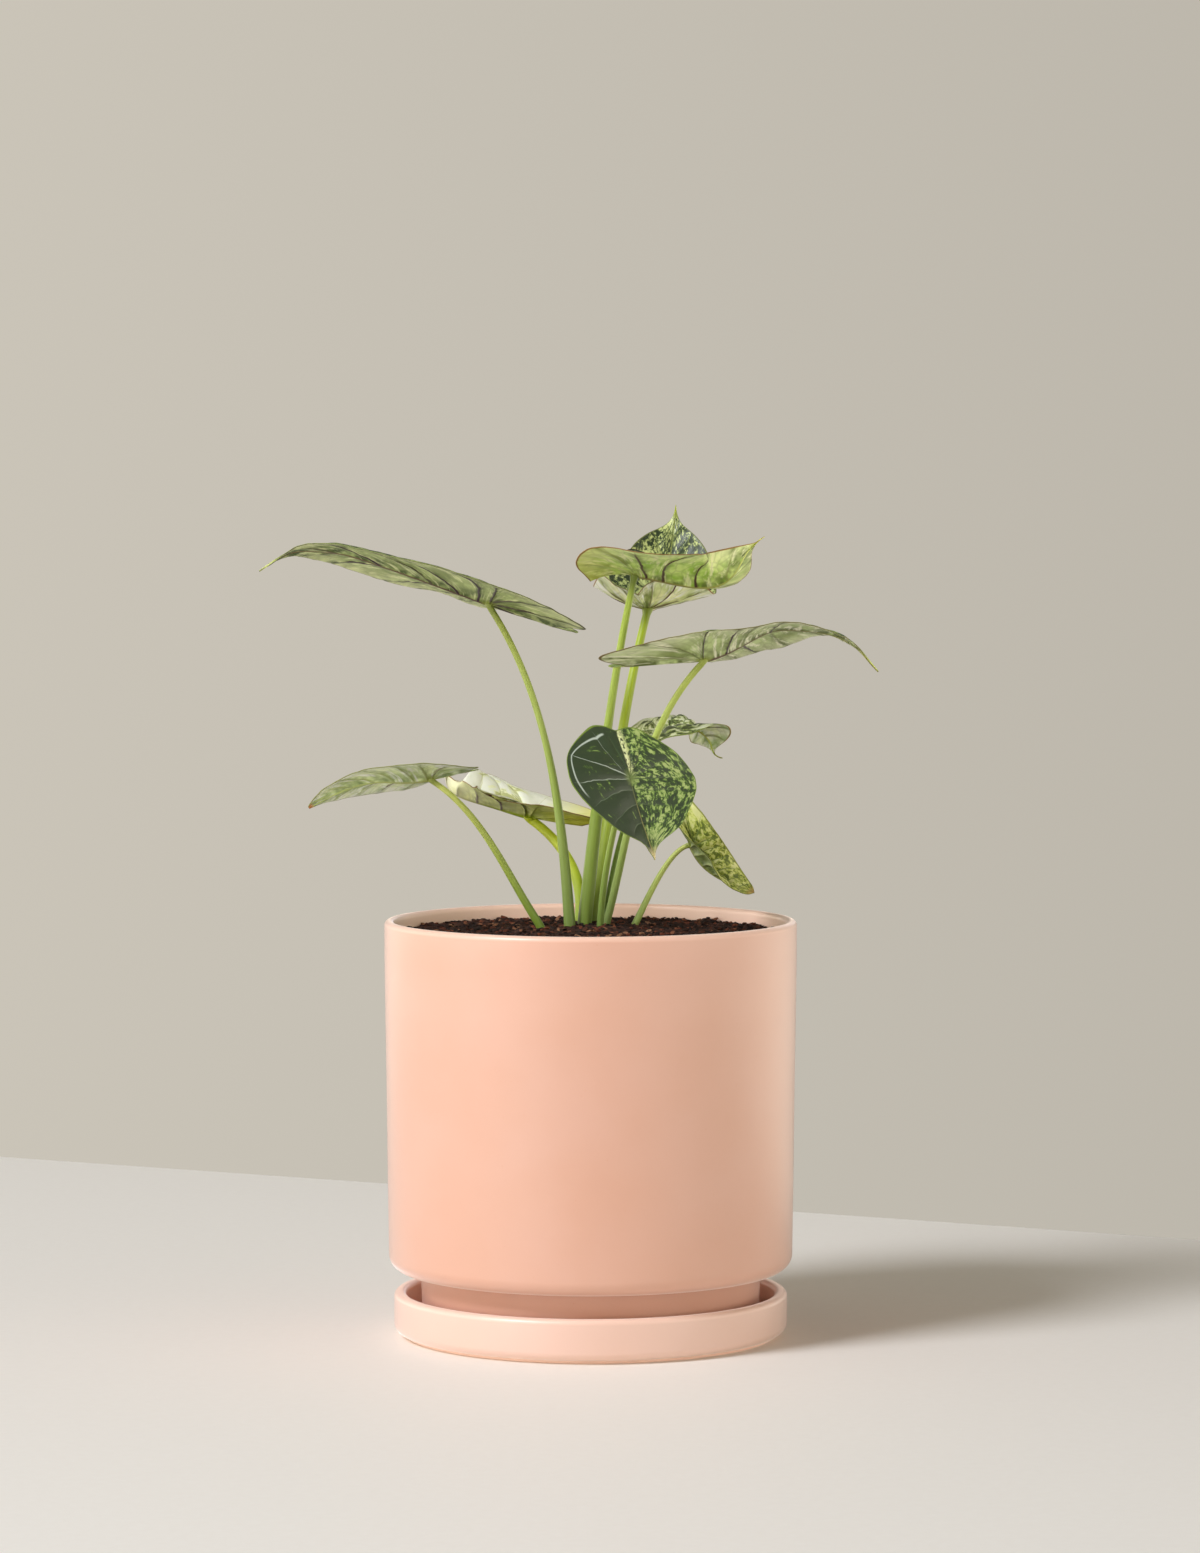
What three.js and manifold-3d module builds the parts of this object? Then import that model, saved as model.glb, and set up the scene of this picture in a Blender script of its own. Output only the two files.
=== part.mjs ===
// Green mint alocasia in a stoneware pot with its saucer.
// Millimetres, +Z up. The origin is the centre of the saucer's underside, and the front faces -Y.
import * as THREE from 'three';
import { mergeVertices } from 'three/addons/utils/BufferGeometryUtils.js';
import Module from 'manifold-3d';

const wasm = await Module();
wasm.setup();

// Driving dimensions
const POT_RADIUS = 90;
const POT_TOP = 182;
const POT_WALL = 4.4;
const POT_FLOOR = 14;
const BODY_BOTTOM = 29;
const FOOT_RADIUS = 73.6;
const DRAIN_RADIUS = 6;
const SAUCER_RADIUS = 86;
const SAUCER_TOP = 19.4;
const SAUCER_WALL = 5.5;
const SAUCER_FLOOR = 6;
const SOIL_EDGE = 175.6;
const SOIL_MOUND = 4.6;
const GAP = 0.3;
const BLADE_THICKNESS = 0.9;
const MARGIN_THICKNESS = 0.7;
const LATHE_STEPS = 48;
const STEM_SIDES = 8;
const CORM = { centre: [1, 1, 138], radii: [17, 15, 14] };

const stoneware = { color: 0xe9b8a0, roughness: 0.85, metalness: 0 };
const soilLook = { color: 0x2c1e17, roughness: 0.95, metalness: 0 };
const cormLook = { color: 0x6b5238, roughness: 0.9, metalness: 0 };
const petioleLook = { color: 0x8fa545, roughness: 0.55, metalness: 0 };

const rad = THREE.MathUtils.degToRad;
const vec = (p) => new THREE.Vector3(...p);

// Value at q of a list of [q, value] pairs, joined by smooth curves that end level, or of a plain number
function valueAt(pairs, q) {
  if (!Array.isArray(pairs)) {
    return pairs;
  }
  const last = pairs.length - 1;
  if (q <= pairs[0][0]) {
    return pairs[0][1];
  }
  if (q >= pairs[last][0]) {
    return pairs[last][1];
  }
  const slope = (i) => {
    if (i === 0 || i === last) {
      return 0;
    }
    return (pairs[i + 1][1] - pairs[i - 1][1]) / (pairs[i + 1][0] - pairs[i - 1][0]);
  };
  const i = pairs.findIndex(([place]) => place > q) - 1;
  const [q0, start] = pairs[i];
  const [q1, end] = pairs[i + 1];
  const span = q1 - q0;
  const w = (q - q0) / span;
  const slope0 = slope(i) * span;
  const slope1 = slope(i + 1) * span;
  const bend = 3 * (end - start) - 2 * slope0 - slope1;
  return (2 * (start - end) + slope0 + slope1) * w ** 3 + bend * w ** 2 + slope0 * w + start;
}

// Welded geometry from loose triangles of Vector3, with collapsed triangles dropped and faces pointing out
function weld(triangles) {
  const loose = new THREE.BufferGeometry();
  loose.setFromPoints(triangles.flat());
  const merged = mergeVertices(loose, 1e-4);
  const ids = merged.index.array;
  let kept = [];
  for (let i = 0; i < ids.length; i += 3) {
    const [a, b, c] = [ids[i], ids[i + 1], ids[i + 2]];
    if (a !== b && b !== c && c !== a) {
      kept.push([a, b, c]);
    }
  }
  if (volume(merged, kept) < 0) {
    kept = kept.map(([a, b, c]) => [a, c, b]);
  }
  merged.setIndex(kept.flat());
  return merged;
}

function volume(geometry, faces) {
  const corner = (i) => new THREE.Vector3().fromBufferAttribute(geometry.attributes.position, i);
  let sum = 0;
  for (const [a, b, c] of faces) {
    sum += corner(a).dot(corner(b).cross(corner(c)));
  }
  return sum;
}

function toSolid(geometry) {
  const bare = geometry.clone();
  bare.deleteAttribute('normal');
  bare.deleteAttribute('uv');
  const welded = mergeVertices(bare, 1e-4);
  const ids = welded.index.array;
  const kept = [];
  for (let i = 0; i < ids.length; i += 3) {
    if (ids[i] !== ids[i + 1] && ids[i + 1] !== ids[i + 2] && ids[i + 2] !== ids[i]) {
      kept.push(ids[i], ids[i + 1], ids[i + 2]);
    }
  }
  const mesh = new wasm.Mesh({
    numProp: 3,
    vertProperties: Float32Array.from(welded.attributes.position.array),
    triVerts: Uint32Array.from(kept),
  });
  return new wasm.Manifold(mesh);
}

function toGeometry(solid) {
  const mesh = solid.getMesh();
  const geometry = new THREE.BufferGeometry();
  geometry.setAttribute('position', new THREE.Float32BufferAttribute(mesh.vertProperties, 3));
  geometry.setIndex(Array.from(mesh.triVerts));
  return geometry;
}

// Solid of revolution about Z from a closed [radius, z] profile
function turned(profile, steps = LATHE_STEPS) {
  const lathe = new THREE.LatheGeometry(profile.map(([r, z]) => new THREE.Vector2(r, z)), steps);
  lathe.rotateX(Math.PI / 2);
  const at = (i) => new THREE.Vector3().fromBufferAttribute(lathe.attributes.position, i);
  const ids = lathe.index.array;
  const triangles = [];
  for (let i = 0; i < ids.length; i += 3) {
    triangles.push([at(ids[i]), at(ids[i + 1]), at(ids[i + 2])]);
  }
  return weld(triangles);
}

const group = new THREE.Group();

function addPiece(name, geometry, look) {
  geometry.computeVertexNormals();
  const mesh = new THREE.Mesh(geometry, new THREE.MeshStandardMaterial(look));
  mesh.name = name;
  group.add(mesh);
}

// Quarter arc points in a profile, from angle a to b in degrees
function arc(cr, cz, radius, a, b, steps) {
  const points = [];
  for (let i = 0; i <= steps; i++) {
    const angle = rad(a + ((b - a) * i) / steps);
    points.push([cr + radius * Math.cos(angle), cz + radius * Math.sin(angle)]);
  }
  return points;
}

const innerFoot = FOOT_RADIUS - POT_WALL;
const innerTop = POT_RADIUS - POT_WALL;
const innerBottom = 84;
const rimRound = POT_WALL / 2;

const potProfile = [
  [DRAIN_RADIUS, SAUCER_FLOOR + 3.5],
  [innerFoot - 3, SAUCER_FLOOR + 3.5],
  [innerFoot - 1.5, SAUCER_FLOOR],
  [FOOT_RADIUS - 0.8, SAUCER_FLOOR],
  [FOOT_RADIUS, SAUCER_FLOOR + 0.8],
  [FOOT_RADIUS + 1, BODY_BOTTOM],
  ...arc(81.3, BODY_BOTTOM + 7, 7, -90, 0, 3),
  [89.2, 110],
  [POT_RADIUS, POT_TOP - 16],
  ...arc(POT_RADIUS - rimRound, POT_TOP - rimRound, rimRound, 0, 180, 4),
  [innerBottom, BODY_BOTTOM + 10],
  [innerBottom - 4, BODY_BOTTOM + POT_WALL],
  [innerFoot + 1, BODY_BOTTOM + POT_WALL],
  [innerFoot, BODY_BOTTOM + POT_WALL - 1],
  [innerFoot, POT_FLOOR + 2],
  [innerFoot - 2, POT_FLOOR],
  [DRAIN_RADIUS, POT_FLOOR],
  [DRAIN_RADIUS, SAUCER_FLOOR + 3.5],
];
addPiece('pot', turned(potProfile), stoneware);

const saucerInner = SAUCER_RADIUS - SAUCER_WALL;
const saucerProfile = [
  [0, 0],
  [80.6, 0],
  [81.2, 0.6],
  [81.2, 1.5],
  ...arc(SAUCER_RADIUS - 4, 5.5, 4, -90, 0, 2),
  ...arc(SAUCER_RADIUS - 2.2, SAUCER_TOP - 2.2, 2.2, 0, 90, 2),
  ...arc(saucerInner + 2.2, SAUCER_TOP - 2.2, 2.2, 90, 180, 2),
  [saucerInner, SAUCER_FLOOR + 3],
  [saucerInner - 1, SAUCER_FLOOR + 1],
  [saucerInner - 3, SAUCER_FLOOR],
  [0, SAUCER_FLOOR],
];
addPiece('saucer', turned(saucerProfile), stoneware);

// Each leaf is laid out flat, with its midrib along y from the petiole's join at 0 to the tip at its
// length. The midrib then follows heading, pitch and roll in degrees, given as [q, angle] pairs with
// q = y / length, and each half is folded up from it and curled. Left is the left hand of one who
// looks from the join to the tip.
const leaves = [
  {
    name: 'long_left', join: [-44.1, 2, 319.7], length: 106.5, lobe: 40.5, notch: 29.5, halfWidth: 41.5,
    drip: 0.86, rows: 3, columns: 4,
    heading: [[-0.4, 186], [0, 185], [1, 175]],
    pitch: [[-0.4, 20], [0.45, 19], [0.6, 15], [0.7, 4], [0.8, -2], [0.9, -31], [1, -33]],
    roll: [[-0.4, 4], [1, 10]],
    foldLeft: [[0, 18], [0.3, 19], [0.6, 13], [1, 0]],
    curlLeft: [[-0.4, -23], [0.6, -33]],
    foldRight: [[-0.4, 13], [0, -1], [0.2, -1], [0.4, -7], [0.7, -13], [1, -7]],
    curlRight: [[-0.4, -1], [0.5, 12]],
    wave: 1, phaseLeft: 0.6, phaseRight: 2,
    petiole: {
      path: [[-9.2, -7, 181.9], [-12.7, -5.5, 229.4], [-17.7, -1.8, 278.7]],
      radii: [[0, 2.5], [0.3, 1.95], [0.55, 1.5], [1, 1.35]],
    },
  },
  {
    name: 'upper_front', join: [19.1, -12, 332.5], length: 66.5, lobe: 18, notch: 20.5, halfWidth: 37,
    drip: 0.88, rows: 3, columns: 4,
    heading: [[-0.4, -31], [0, -3], [0.6, -4], [1, -10]],
    pitch: [[-0.4, 29], [0, -8], [0.3, -11], [0.5, 6], [0.65, 45], [0.8, 61], [1, 32]],
    roll: [[-0.4, -12], [0.3, -17], [0.6, -28], [1, -67]],
    foldLeft: [[-0.4, 42], [0.3, 21], [0.7, 27]],
    curlLeft: -5,
    foldRight: [[-0.4, 37], [0, 9], [0.5, 20]],
    curlRight: -14,
    wave: 1.2, phaseLeft: 0, phaseRight: 1,
    petiole: {
      path: [[-2.5, -3, 181.6], [2.9, -4.5, 232.5], [8.4, -8.2, 283]],
      radii: [[0, 3.1], [0.27, 2.75], [0.6, 1.8], [1, 1.4]],
    },
  },
  {
    name: 'upper_rear', join: [25.2, 46, 316.5], length: 69.5, lobe: 30, notch: 19.5, halfWidth: 28.5,
    widest: 0.05, shoulder: 0.65, drip: 0.88, dripWidth: 0.1, rows: 3, columns: 4,
    heading: [[-0.4, 84], [0, 72], [1, 75]],
    pitch: [[-0.4, -4], [-0.15, -25], [0.1, 5], [0.4, 49], [0.7, 62], [0.85, 64], [1, 84]],
    roll: [[-0.4, -10], [0.5, 2]],
    foldLeft: [[-0.4, 26], [0, 11], [0.3, 25], [1, 16]],
    curlLeft: 32,
    foldRight: [[-0.4, 23], [0, 11], [0.3, 6], [1, 12]],
    curlRight: 7,
    wave: 1.2, phaseLeft: 2.5, phaseRight: 0.8,
    petiole: {
      path: [[1.4, 5, 180.9], [8.2, 8.9, 226.1], [13.7, 27, 271.7]],
      radii: [[0, 3.2], [0.27, 2.95], [0.6, 2.1], [1, 1.7]],
    },
  },
  {
    name: 'long_right', join: [48.2, -38, 296.6], length: 85, lobe: 41, notch: 31.5, halfWidth: 33.5,
    widest: 0.08, shoulder: 0.48, drip: 0.8, rows: 3, columns: 4,
    heading: [[-0.4, -11], [0, 5], [1, 6]],
    pitch: [
      [-0.4, 6], [-0.05, 6], [0.1, 22], [0.3, 27], [0.45, 0], [0.6, -7], [0.75, -25], [0.9, -50],
      [1, -45],
    ],
    roll: [[-0.5, -6], [1, 6]],
    foldLeft: [[-0.4, 14], [0, 2], [0.3, -14], [0.5, -23], [0.8, -5]],
    curlLeft: -4,
    foldRight: [[-0.4, 20], [0, 24], [0.35, 11], [0.6, 13]],
    curlRight: -4,
    wave: 1, phaseLeft: 2.5, phaseRight: -1.2,
    petiole: {
      path: [[7.1, -2, 181.5], [17.9, -7.8, 221.6], [16.8, -22.6, 266.6]],
      radii: [[0, 1.7], [1, 1.4]],
      neck: 0.08,
    },
  },
  {
    name: 'front', join: [16.7, -46, 246.7], length: 37.5, lobe: 24, notch: 24, halfWidth: 34,
    widest: 0.02, shoulder: 0.59, drip: 0.84, dripWidth: 0.13, rows: 2, columns: 4,
    heading: [[-0.5, -66], [1, -29]],
    pitch: [[-0.5, -48], [0, -66], [1, -67]],
    roll: [[-0.6, 4], [1, 39]],
    foldLeft: [[-0.5, -7], [0, -18], [1, 4]],
    curlLeft: 0,
    foldRight: [[-0.5, 18], [0, 36], [1, 49]],
    curlRight: -30,
    wave: 0.8, phaseLeft: 0.6, phaseRight: 0.8,
    petiole: {
      path: [[4.3, -8, 182], [5.7, -14.2, 204.4], [10.3, -30, 226.9]],
      radii: [[0, 1.5], [1, 1.2]],
    },
  },
  {
    name: 'middle_rear', join: [31, 34, 262.6], length: 35, lobe: 15.5, notch: 10, halfWidth: 25,
    widest: 0.11, shoulder: 0.63, drip: 0.82, rows: 2, columns: 3,
    heading: [[-0.4, -14], [1, 22]],
    pitch: [[-0.4, 22], [0, 24], [0.4, -15], [0.6, -44], [0.8, -72], [0.9, -42], [1, -7]],
    roll: [[-0.4, 30], [0.1, 9], [0.4, 4], [0.7, -28], [1, -49]],
    foldLeft: 24,
    curlLeft: -55,
    foldRight: 17,
    curlRight: -30,
    wave: 0.6, phaseLeft: 0.5, phaseRight: 2.1,
    petiole: {
      path: [[6.7, 9, 180.5], [9.7, 13.4, 210.9], [19.5, 23.3, 238.1]],
      radii: [[0, 1.5], [1, 1.2]],
    },
  },
  {
    name: 'hanging', join: [43.8, 8, 214.2], length: 38, lobe: 22, notch: 14, halfWidth: 15.5,
    shoulder: 0.59, drip: 0.9, dripWidth: 0.25, rows: 2, columns: 3,
    heading: [[-0.4, -16], [1, -29]],
    pitch: [[-0.4, -65], [0, -65], [0.4, -35], [1, -14]],
    roll: [[-0.4, 80], [1, 45]],
    foldLeft: [[-0.5, 25], [0.4, 20], [1, -17]],
    curlLeft: 18,
    foldRight: [[-0.5, 80], [0.3, 94], [0.55, 78], [0.8, 40], [1, 15]],
    curlRight: 6,
    wave: 0.6, phaseLeft: -0.4, phaseRight: 0.1,
    petiole: {
      path: [[19.8, 2, 180.7], [24.5, 2.6, 189.9], [31.6, 5.9, 213.7]],
      radii: [[0, 1.5], [1, 1]],
      neck: 0.4,
    },
  },
  {
    name: 'low_left', join: [-68.9, -20, 244.7], length: 56.5, lobe: 20, notch: 15, halfWidth: 23.5,
    shoulder: 0.54, drip: 0.98, rows: 2, columns: 4,
    heading: [[-0.4, 182], [1, 166]],
    pitch: [[-0.4, -6], [0, -11], [0.3, 2], [0.45, -8], [0.7, -23], [1, -28]],
    roll: [[-0.4, 6], [1, 8]],
    foldLeft: [[-0.4, 13], [0, 21], [1, 22]],
    curlLeft: -18,
    foldRight: [[-0.4, 8], [0, 1], [0.3, -7], [1, -13]],
    curlRight: 0,
    wave: 0.8, phaseLeft: 0.1, phaseRight: 0.5,
    petiole: {
      path: [[-22.8, -4, 180.8], [-36.8, -6.7, 202.6], [-46.7, -13.2, 229.5]],
      radii: [[0, 1.8], [1, 1.2]],
    },
  },
  {
    name: 'young_folded', join: [-26.8, 23.2, 225.4], length: 44, lobe: 28, notch: 23.5, halfWidth: 25.5,
    widest: 0.43, shoulder: 1.01, drip: 0.97, rows: 2, columns: 4,
    heading: [[-0.55, 172], [1, 179]],
    pitch: [[-0.55, 7], [0.2, 16], [0.75, 26], [1, 93]],
    roll: [[-0.55, -2], [1, 8]],
    foldLeft: [[-0.6, 30], [-0.2, 29], [0.2, 14], [0.5, 9], [0.8, 25], [1, 48]],
    curlLeft: -1,
    foldRight: [[-0.6, 49], [0.2, 50], [0.7, 65], [1, 59]],
    curlRight: -54,
    wave: 1, phaseLeft: -0.9, phaseRight: 1,
    petiole: {
      path: [[-4.7, 7, 180.7], [-1.4, 10.5, 204.5], [-16.2, 20, 219.5]],
      radii: [[0, 2.5], [1, 1.9]],
      neck: 0.12,
    },
  },
];

// Main veins: share of the length where each leaves the midrib, and share of the outline where it ends
const VEINS = [
  [0, 0], [0, 0.17], [0, 0.3], [0.03, 0.4], [0.13, 0.475],
  [0.28, 0.55], [0.44, 0.63], [0.61, 0.71], [0.79, 0.79], [1, 1],
];
const LAST_VEIN = VEINS.length - 1;
const WAVES = 3;
const PILLOW = 0.9;

// Half of the blade's outline, from the notch behind the join round the lobe to the tip
function outline(leaf) {
  const { halfWidth, length, lobe, notch, widest = 0.06, shoulder = 0.56 } = leaf;
  const { drip, dripWidth = 0.065 } = leaf;
  return new THREE.SplineCurve([
    new THREE.Vector2(0, -notch),
    new THREE.Vector2(0.4 * halfWidth, -lobe),
    new THREE.Vector2(halfWidth, widest * length),
    new THREE.Vector2(shoulder * halfWidth, 0.62 * length),
    new THREE.Vector2(dripWidth * halfWidth, drip * length),
    new THREE.Vector2(0, length),
  ]);
}

// Directions along the midrib, across to the left, and up from the blade
function midribFrame(leaf, q) {
  const heading = rad(valueAt(leaf.heading, q));
  const pitch = rad(valueAt(leaf.pitch, q));
  const roll = rad(valueAt(leaf.roll, q));
  const along = new THREE.Vector3(
    Math.cos(pitch) * Math.cos(heading),
    Math.cos(pitch) * Math.sin(heading),
    Math.sin(pitch),
  );
  const level = new THREE.Vector3(-Math.sin(heading), Math.cos(heading), 0);
  const upright = along.clone().cross(level);
  const across = level.clone().multiplyScalar(Math.cos(roll)).addScaledVector(upright, Math.sin(roll));
  const normal = upright.multiplyScalar(Math.cos(roll)).addScaledVector(level, -Math.sin(roll));
  return { along, across, normal };
}

// Points of the midrib, found by stepping along its direction, with the join at y = 0
function midribPoints(leaf, steps = 120) {
  const back = -1.15 * leaf.lobe;
  const step = (leaf.length - back) / steps;
  const points = [new THREE.Vector3()];
  for (let i = 1; i <= steps; i++) {
    const before = midribFrame(leaf, (back + (i - 1) * step) / leaf.length).along;
    const after = midribFrame(leaf, (back + i * step) / leaf.length).along;
    points.push(points[i - 1].clone().addScaledVector(before.add(after), step / 2));
  }
  const at = (y) => {
    const place = THREE.MathUtils.clamp((y - back) / step, 0, steps - 1e-9);
    const i = Math.floor(place);
    return points[i].clone().lerp(points[i + 1], place - i);
  };
  const shift = vec(leaf.join).sub(at(0));
  return (y) => at(y).add(shift);
}

// Point of the flat blade at place k, counted in veins, and share t of the way to the margin
function flatPoint(leaf, curve, k, t) {
  const i = Math.min(Math.floor(k), LAST_VEIN - 1);
  const part = k - i;
  const start = THREE.MathUtils.lerp(VEINS[i][0], VEINS[i + 1][0], part) * leaf.length;
  const share = THREE.MathUtils.lerp(VEINS[i][1], VEINS[i + 1][1], part);
  const end = curve.getPoint(share);
  const middle = new THREE.Vector2(0.62 * end.x, start + 0.3 * (end.y - start));
  const x = 2 * t * (1 - t) * middle.x + t * t * end.x;
  const y = (1 - t) ** 2 * start + 2 * t * (1 - t) * middle.y + t * t * end.y;
  return { x, y, share, part };
}

// Quilting between the veins and the wave of the margin
function relief(leaf, k, t, share, part, side) {
  const size = k < LAST_VEIN - 1 ? PILLOW : 0.3 * PILLOW;
  const quilt = size * Math.sin(Math.PI * part) * Math.sin(Math.PI * Math.min(1, t / 0.95)) ** 0.8;
  const phase = leaf['phase' + side];
  const swing = Math.sin(2 * Math.PI * WAVES * share + phase) * Math.sin(Math.PI * share);
  return quilt + leaf.wave * t * t * swing;
}

// Direction up from the crease between the two halves, and how much further apart the faces lie there
function crease(leaf, q) {
  const { across, normal } = midribFrame(leaf, q);
  const left = rad(valueAt(leaf.foldLeft, q));
  const right = rad(valueAt(leaf.foldRight, q));
  const leftUp = normal.clone().multiplyScalar(Math.cos(left)).addScaledVector(across, -Math.sin(left));
  const rightUp = normal.clone().multiplyScalar(Math.cos(right)).addScaledVector(across, Math.sin(right));
  const up = leftUp.clone().add(rightUp).normalize();
  return { up, spread: 1 / Math.max(0.5, up.dot(leftUp)), rise: (left + right) / 2 };
}

// Point of the blade, raised above its middle surface by lift
function bladePoint(leaf, midrib, curve, k, t, side, lift) {
  const { x, y, share, part } = flatPoint(leaf, curve, k, t);
  const q = y / leaf.length;
  const { across, normal } = midribFrame(leaf, q);
  const centre = midrib(y);
  const hand = side === 'Left' ? 1 : -1;
  const fold = rad(valueAt(leaf['fold' + side], q));
  if (x < 1e-6) {
    const { up, spread } = crease(leaf, q);
    return centre.addScaledVector(up, lift * spread);
  }
  let curl = rad(valueAt(leaf['curl' + side], q)) / leaf.halfWidth;
  if (Math.abs(curl) < 1e-6) {
    curl = 1e-6;
  }
  const angle = fold + curl * x;
  const out = (Math.sin(angle) - Math.sin(fold)) / curl;
  const rise = (Math.cos(fold) - Math.cos(angle)) / curl;
  const off = lift + relief(leaf, k, t, share, part, side);
  return centre
    .addScaledVector(across, hand * (out - off * Math.sin(angle)))
    .addScaledVector(normal, rise + off * Math.cos(angle));
}

function bladeGeometry(leaf) {
  const midrib = midribPoints(leaf);
  const curve = outline(leaf);
  const rowCount = LAST_VEIN * leaf.rows;
  const triangles = [];
  for (const side of ['Left', 'Right']) {
    const grid = [1, -1].map((face) => {
      const rows = [];
      for (let i = 0; i <= rowCount; i++) {
        const row = [];
        for (let j = 0; j <= leaf.columns; j++) {
          const t = j / leaf.columns;
          const lift = (face * THREE.MathUtils.lerp(BLADE_THICKNESS, MARGIN_THICKNESS, t * t)) / 2;
          row.push(bladePoint(leaf, midrib, curve, i / leaf.rows, t, side, lift));
        }
        rows.push(row);
      }
      return rows;
    });
    const flip = side === 'Right';
    const face = (a, b, c) => triangles.push(flip ? [a, c, b] : [a, b, c]);
    const [top, bottom] = grid;
    for (let i = 0; i < rowCount; i++) {
      for (let j = 0; j < leaf.columns; j++) {
        face(top[i][j], top[i + 1][j + 1], top[i][j + 1]);
        face(top[i][j], top[i + 1][j], top[i + 1][j + 1]);
        face(bottom[i][j], bottom[i][j + 1], bottom[i + 1][j + 1]);
        face(bottom[i][j], bottom[i + 1][j + 1], bottom[i + 1][j]);
      }
      const edge = leaf.columns;
      face(top[i][edge], top[i + 1][edge], bottom[i + 1][edge]);
      face(top[i][edge], bottom[i + 1][edge], bottom[i][edge]);
    }
  }
  return weld(triangles);
}

// Closed tube through points, with a radius at each one. The last section is cut square to endNormal.
function tube(points, radii, sides, endNormal) {
  const tangents = points.map((p, i) => {
    const before = points[Math.max(0, i - 1)];
    const after = points[Math.min(points.length - 1, i + 1)];
    return after.clone().sub(before).normalize();
  });
  const rings = [];
  let u = new THREE.Vector3(1, 0, 0);
  points.forEach((p, i) => {
    u = u.clone().addScaledVector(tangents[i], -u.dot(tangents[i])).normalize();
    const v = tangents[i].clone().cross(u);
    const ring = [];
    for (let j = 0; j < sides; j++) {
      const angle = (2 * Math.PI * j) / sides;
      ring.push(
        p
          .clone()
          .addScaledVector(u, radii[i] * Math.cos(angle))
          .addScaledVector(v, radii[i] * Math.sin(angle)),
      );
    }
    rings.push(ring);
  });
  const last = rings.length - 1;
  if (endNormal) {
    const slope = tangents[last].dot(endNormal);
    for (const corner of rings[last]) {
      const off = corner.clone().sub(points[last]).dot(endNormal);
      corner.addScaledVector(tangents[last], -off / slope);
    }
  }
  const triangles = [];
  for (let j = 0; j < sides; j++) {
    const n = (j + 1) % sides;
    for (let i = 0; i < last; i++) {
      triangles.push([rings[i][j], rings[i][n], rings[i + 1][n]]);
      triangles.push([rings[i][j], rings[i + 1][n], rings[i + 1][j]]);
    }
    triangles.push([points[0], rings[0][n], rings[0][j]]);
    triangles.push([points[last], rings[last][j], rings[last][n]]);
  }
  return weld(triangles);
}

// Centre line of a petiole, from inside the corm up to just under the blade
function petiolePath(leaf, belowSteps = 3, aboveSteps = 12) {
  const { path, radii, neck = 0 } = leaf.petiole;
  const [base, c1, c2] = path.map(vec);
  const { up, spread, rise: foldRise } = crease(leaf, 0);
  const droop = valueAt(radii, 1) * Math.tan(Math.max(0, -foldRise));
  const top = vec(leaf.join).addScaledVector(up, -((BLADE_THICKNESS / 2) * spread + GAP + 0.1 + droop));
  const square = top.clone().addScaledVector(up, -top.distanceTo(c2));
  const rise = new THREE.CubicBezierCurve3(base, c1, c2.lerp(square, neck), top);
  const centre = vec(CORM.centre);
  const inward = base.clone().sub(centre);
  inward.z = 0;
  inward.clampLength(0, 0.8 * CORM.radii[0]);
  const root = centre.clone().add(inward);
  root.z = centre.z + CORM.radii[2] * Math.sqrt(1 - (inward.length() / CORM.radii[0]) ** 2) - 3;
  const under = base.clone().addScaledVector(c1.clone().sub(base).normalize(), -14);
  const sunk = new THREE.QuadraticBezierCurve3(root, under, base);
  const points = [];
  for (let i = 0; i < belowSteps; i++) {
    points.push(sunk.getPoint(i / belowSteps));
  }
  for (let i = 0; i <= aboveSteps; i++) {
    points.push(rise.getPoint(i / aboveSteps));
  }
  return { points, up, belowSteps };
}

function petioleRadii(leaf, count, belowSteps, extra = 0) {
  const radii = [];
  for (let i = 0; i < count; i++) {
    const t = Math.max(0, (i - belowSteps) / (count - 1 - belowSteps));
    radii.push(valueAt(leaf.petiole.radii, t) + extra);
  }
  return radii;
}

// Rootstock with its main roots, all grown by extra for the hollow that it lies in
function cormSolid(extra) {
  const body = new THREE.SphereGeometry(1, 12, 8);
  const [rx, ry, rz] = CORM.radii;
  body.scale(rx + extra, ry + extra, rz + extra);
  body.translate(...CORM.centre);
  let solid = toSolid(body);
  const rootCount = 4;
  for (let i = 0; i < rootCount; i++) {
    const turn = (2 * Math.PI * (i + 0.3)) / rootCount;
    const reach = 36 + 6 * Math.sin(3 * i);
    const curve = new THREE.QuadraticBezierCurve3(
      new THREE.Vector3(6 * Math.cos(turn), 6 * Math.sin(turn), 130),
      new THREE.Vector3(0.7 * reach * Math.cos(turn), 0.7 * reach * Math.sin(turn), 112),
      new THREE.Vector3(reach * Math.cos(turn + 0.3), reach * Math.sin(turn + 0.3), 62 + 6 * i),
    );
    const points = curve.getPoints(4);
    const radii = points.map((p, n) => 1.9 - 0.2 * n + extra);
    solid = solid.add(toSolid(tube(points, radii, 5)));
  }
  return solid;
}

const hollow = cormSolid(GAP);
let stemHoles = null;

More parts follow.
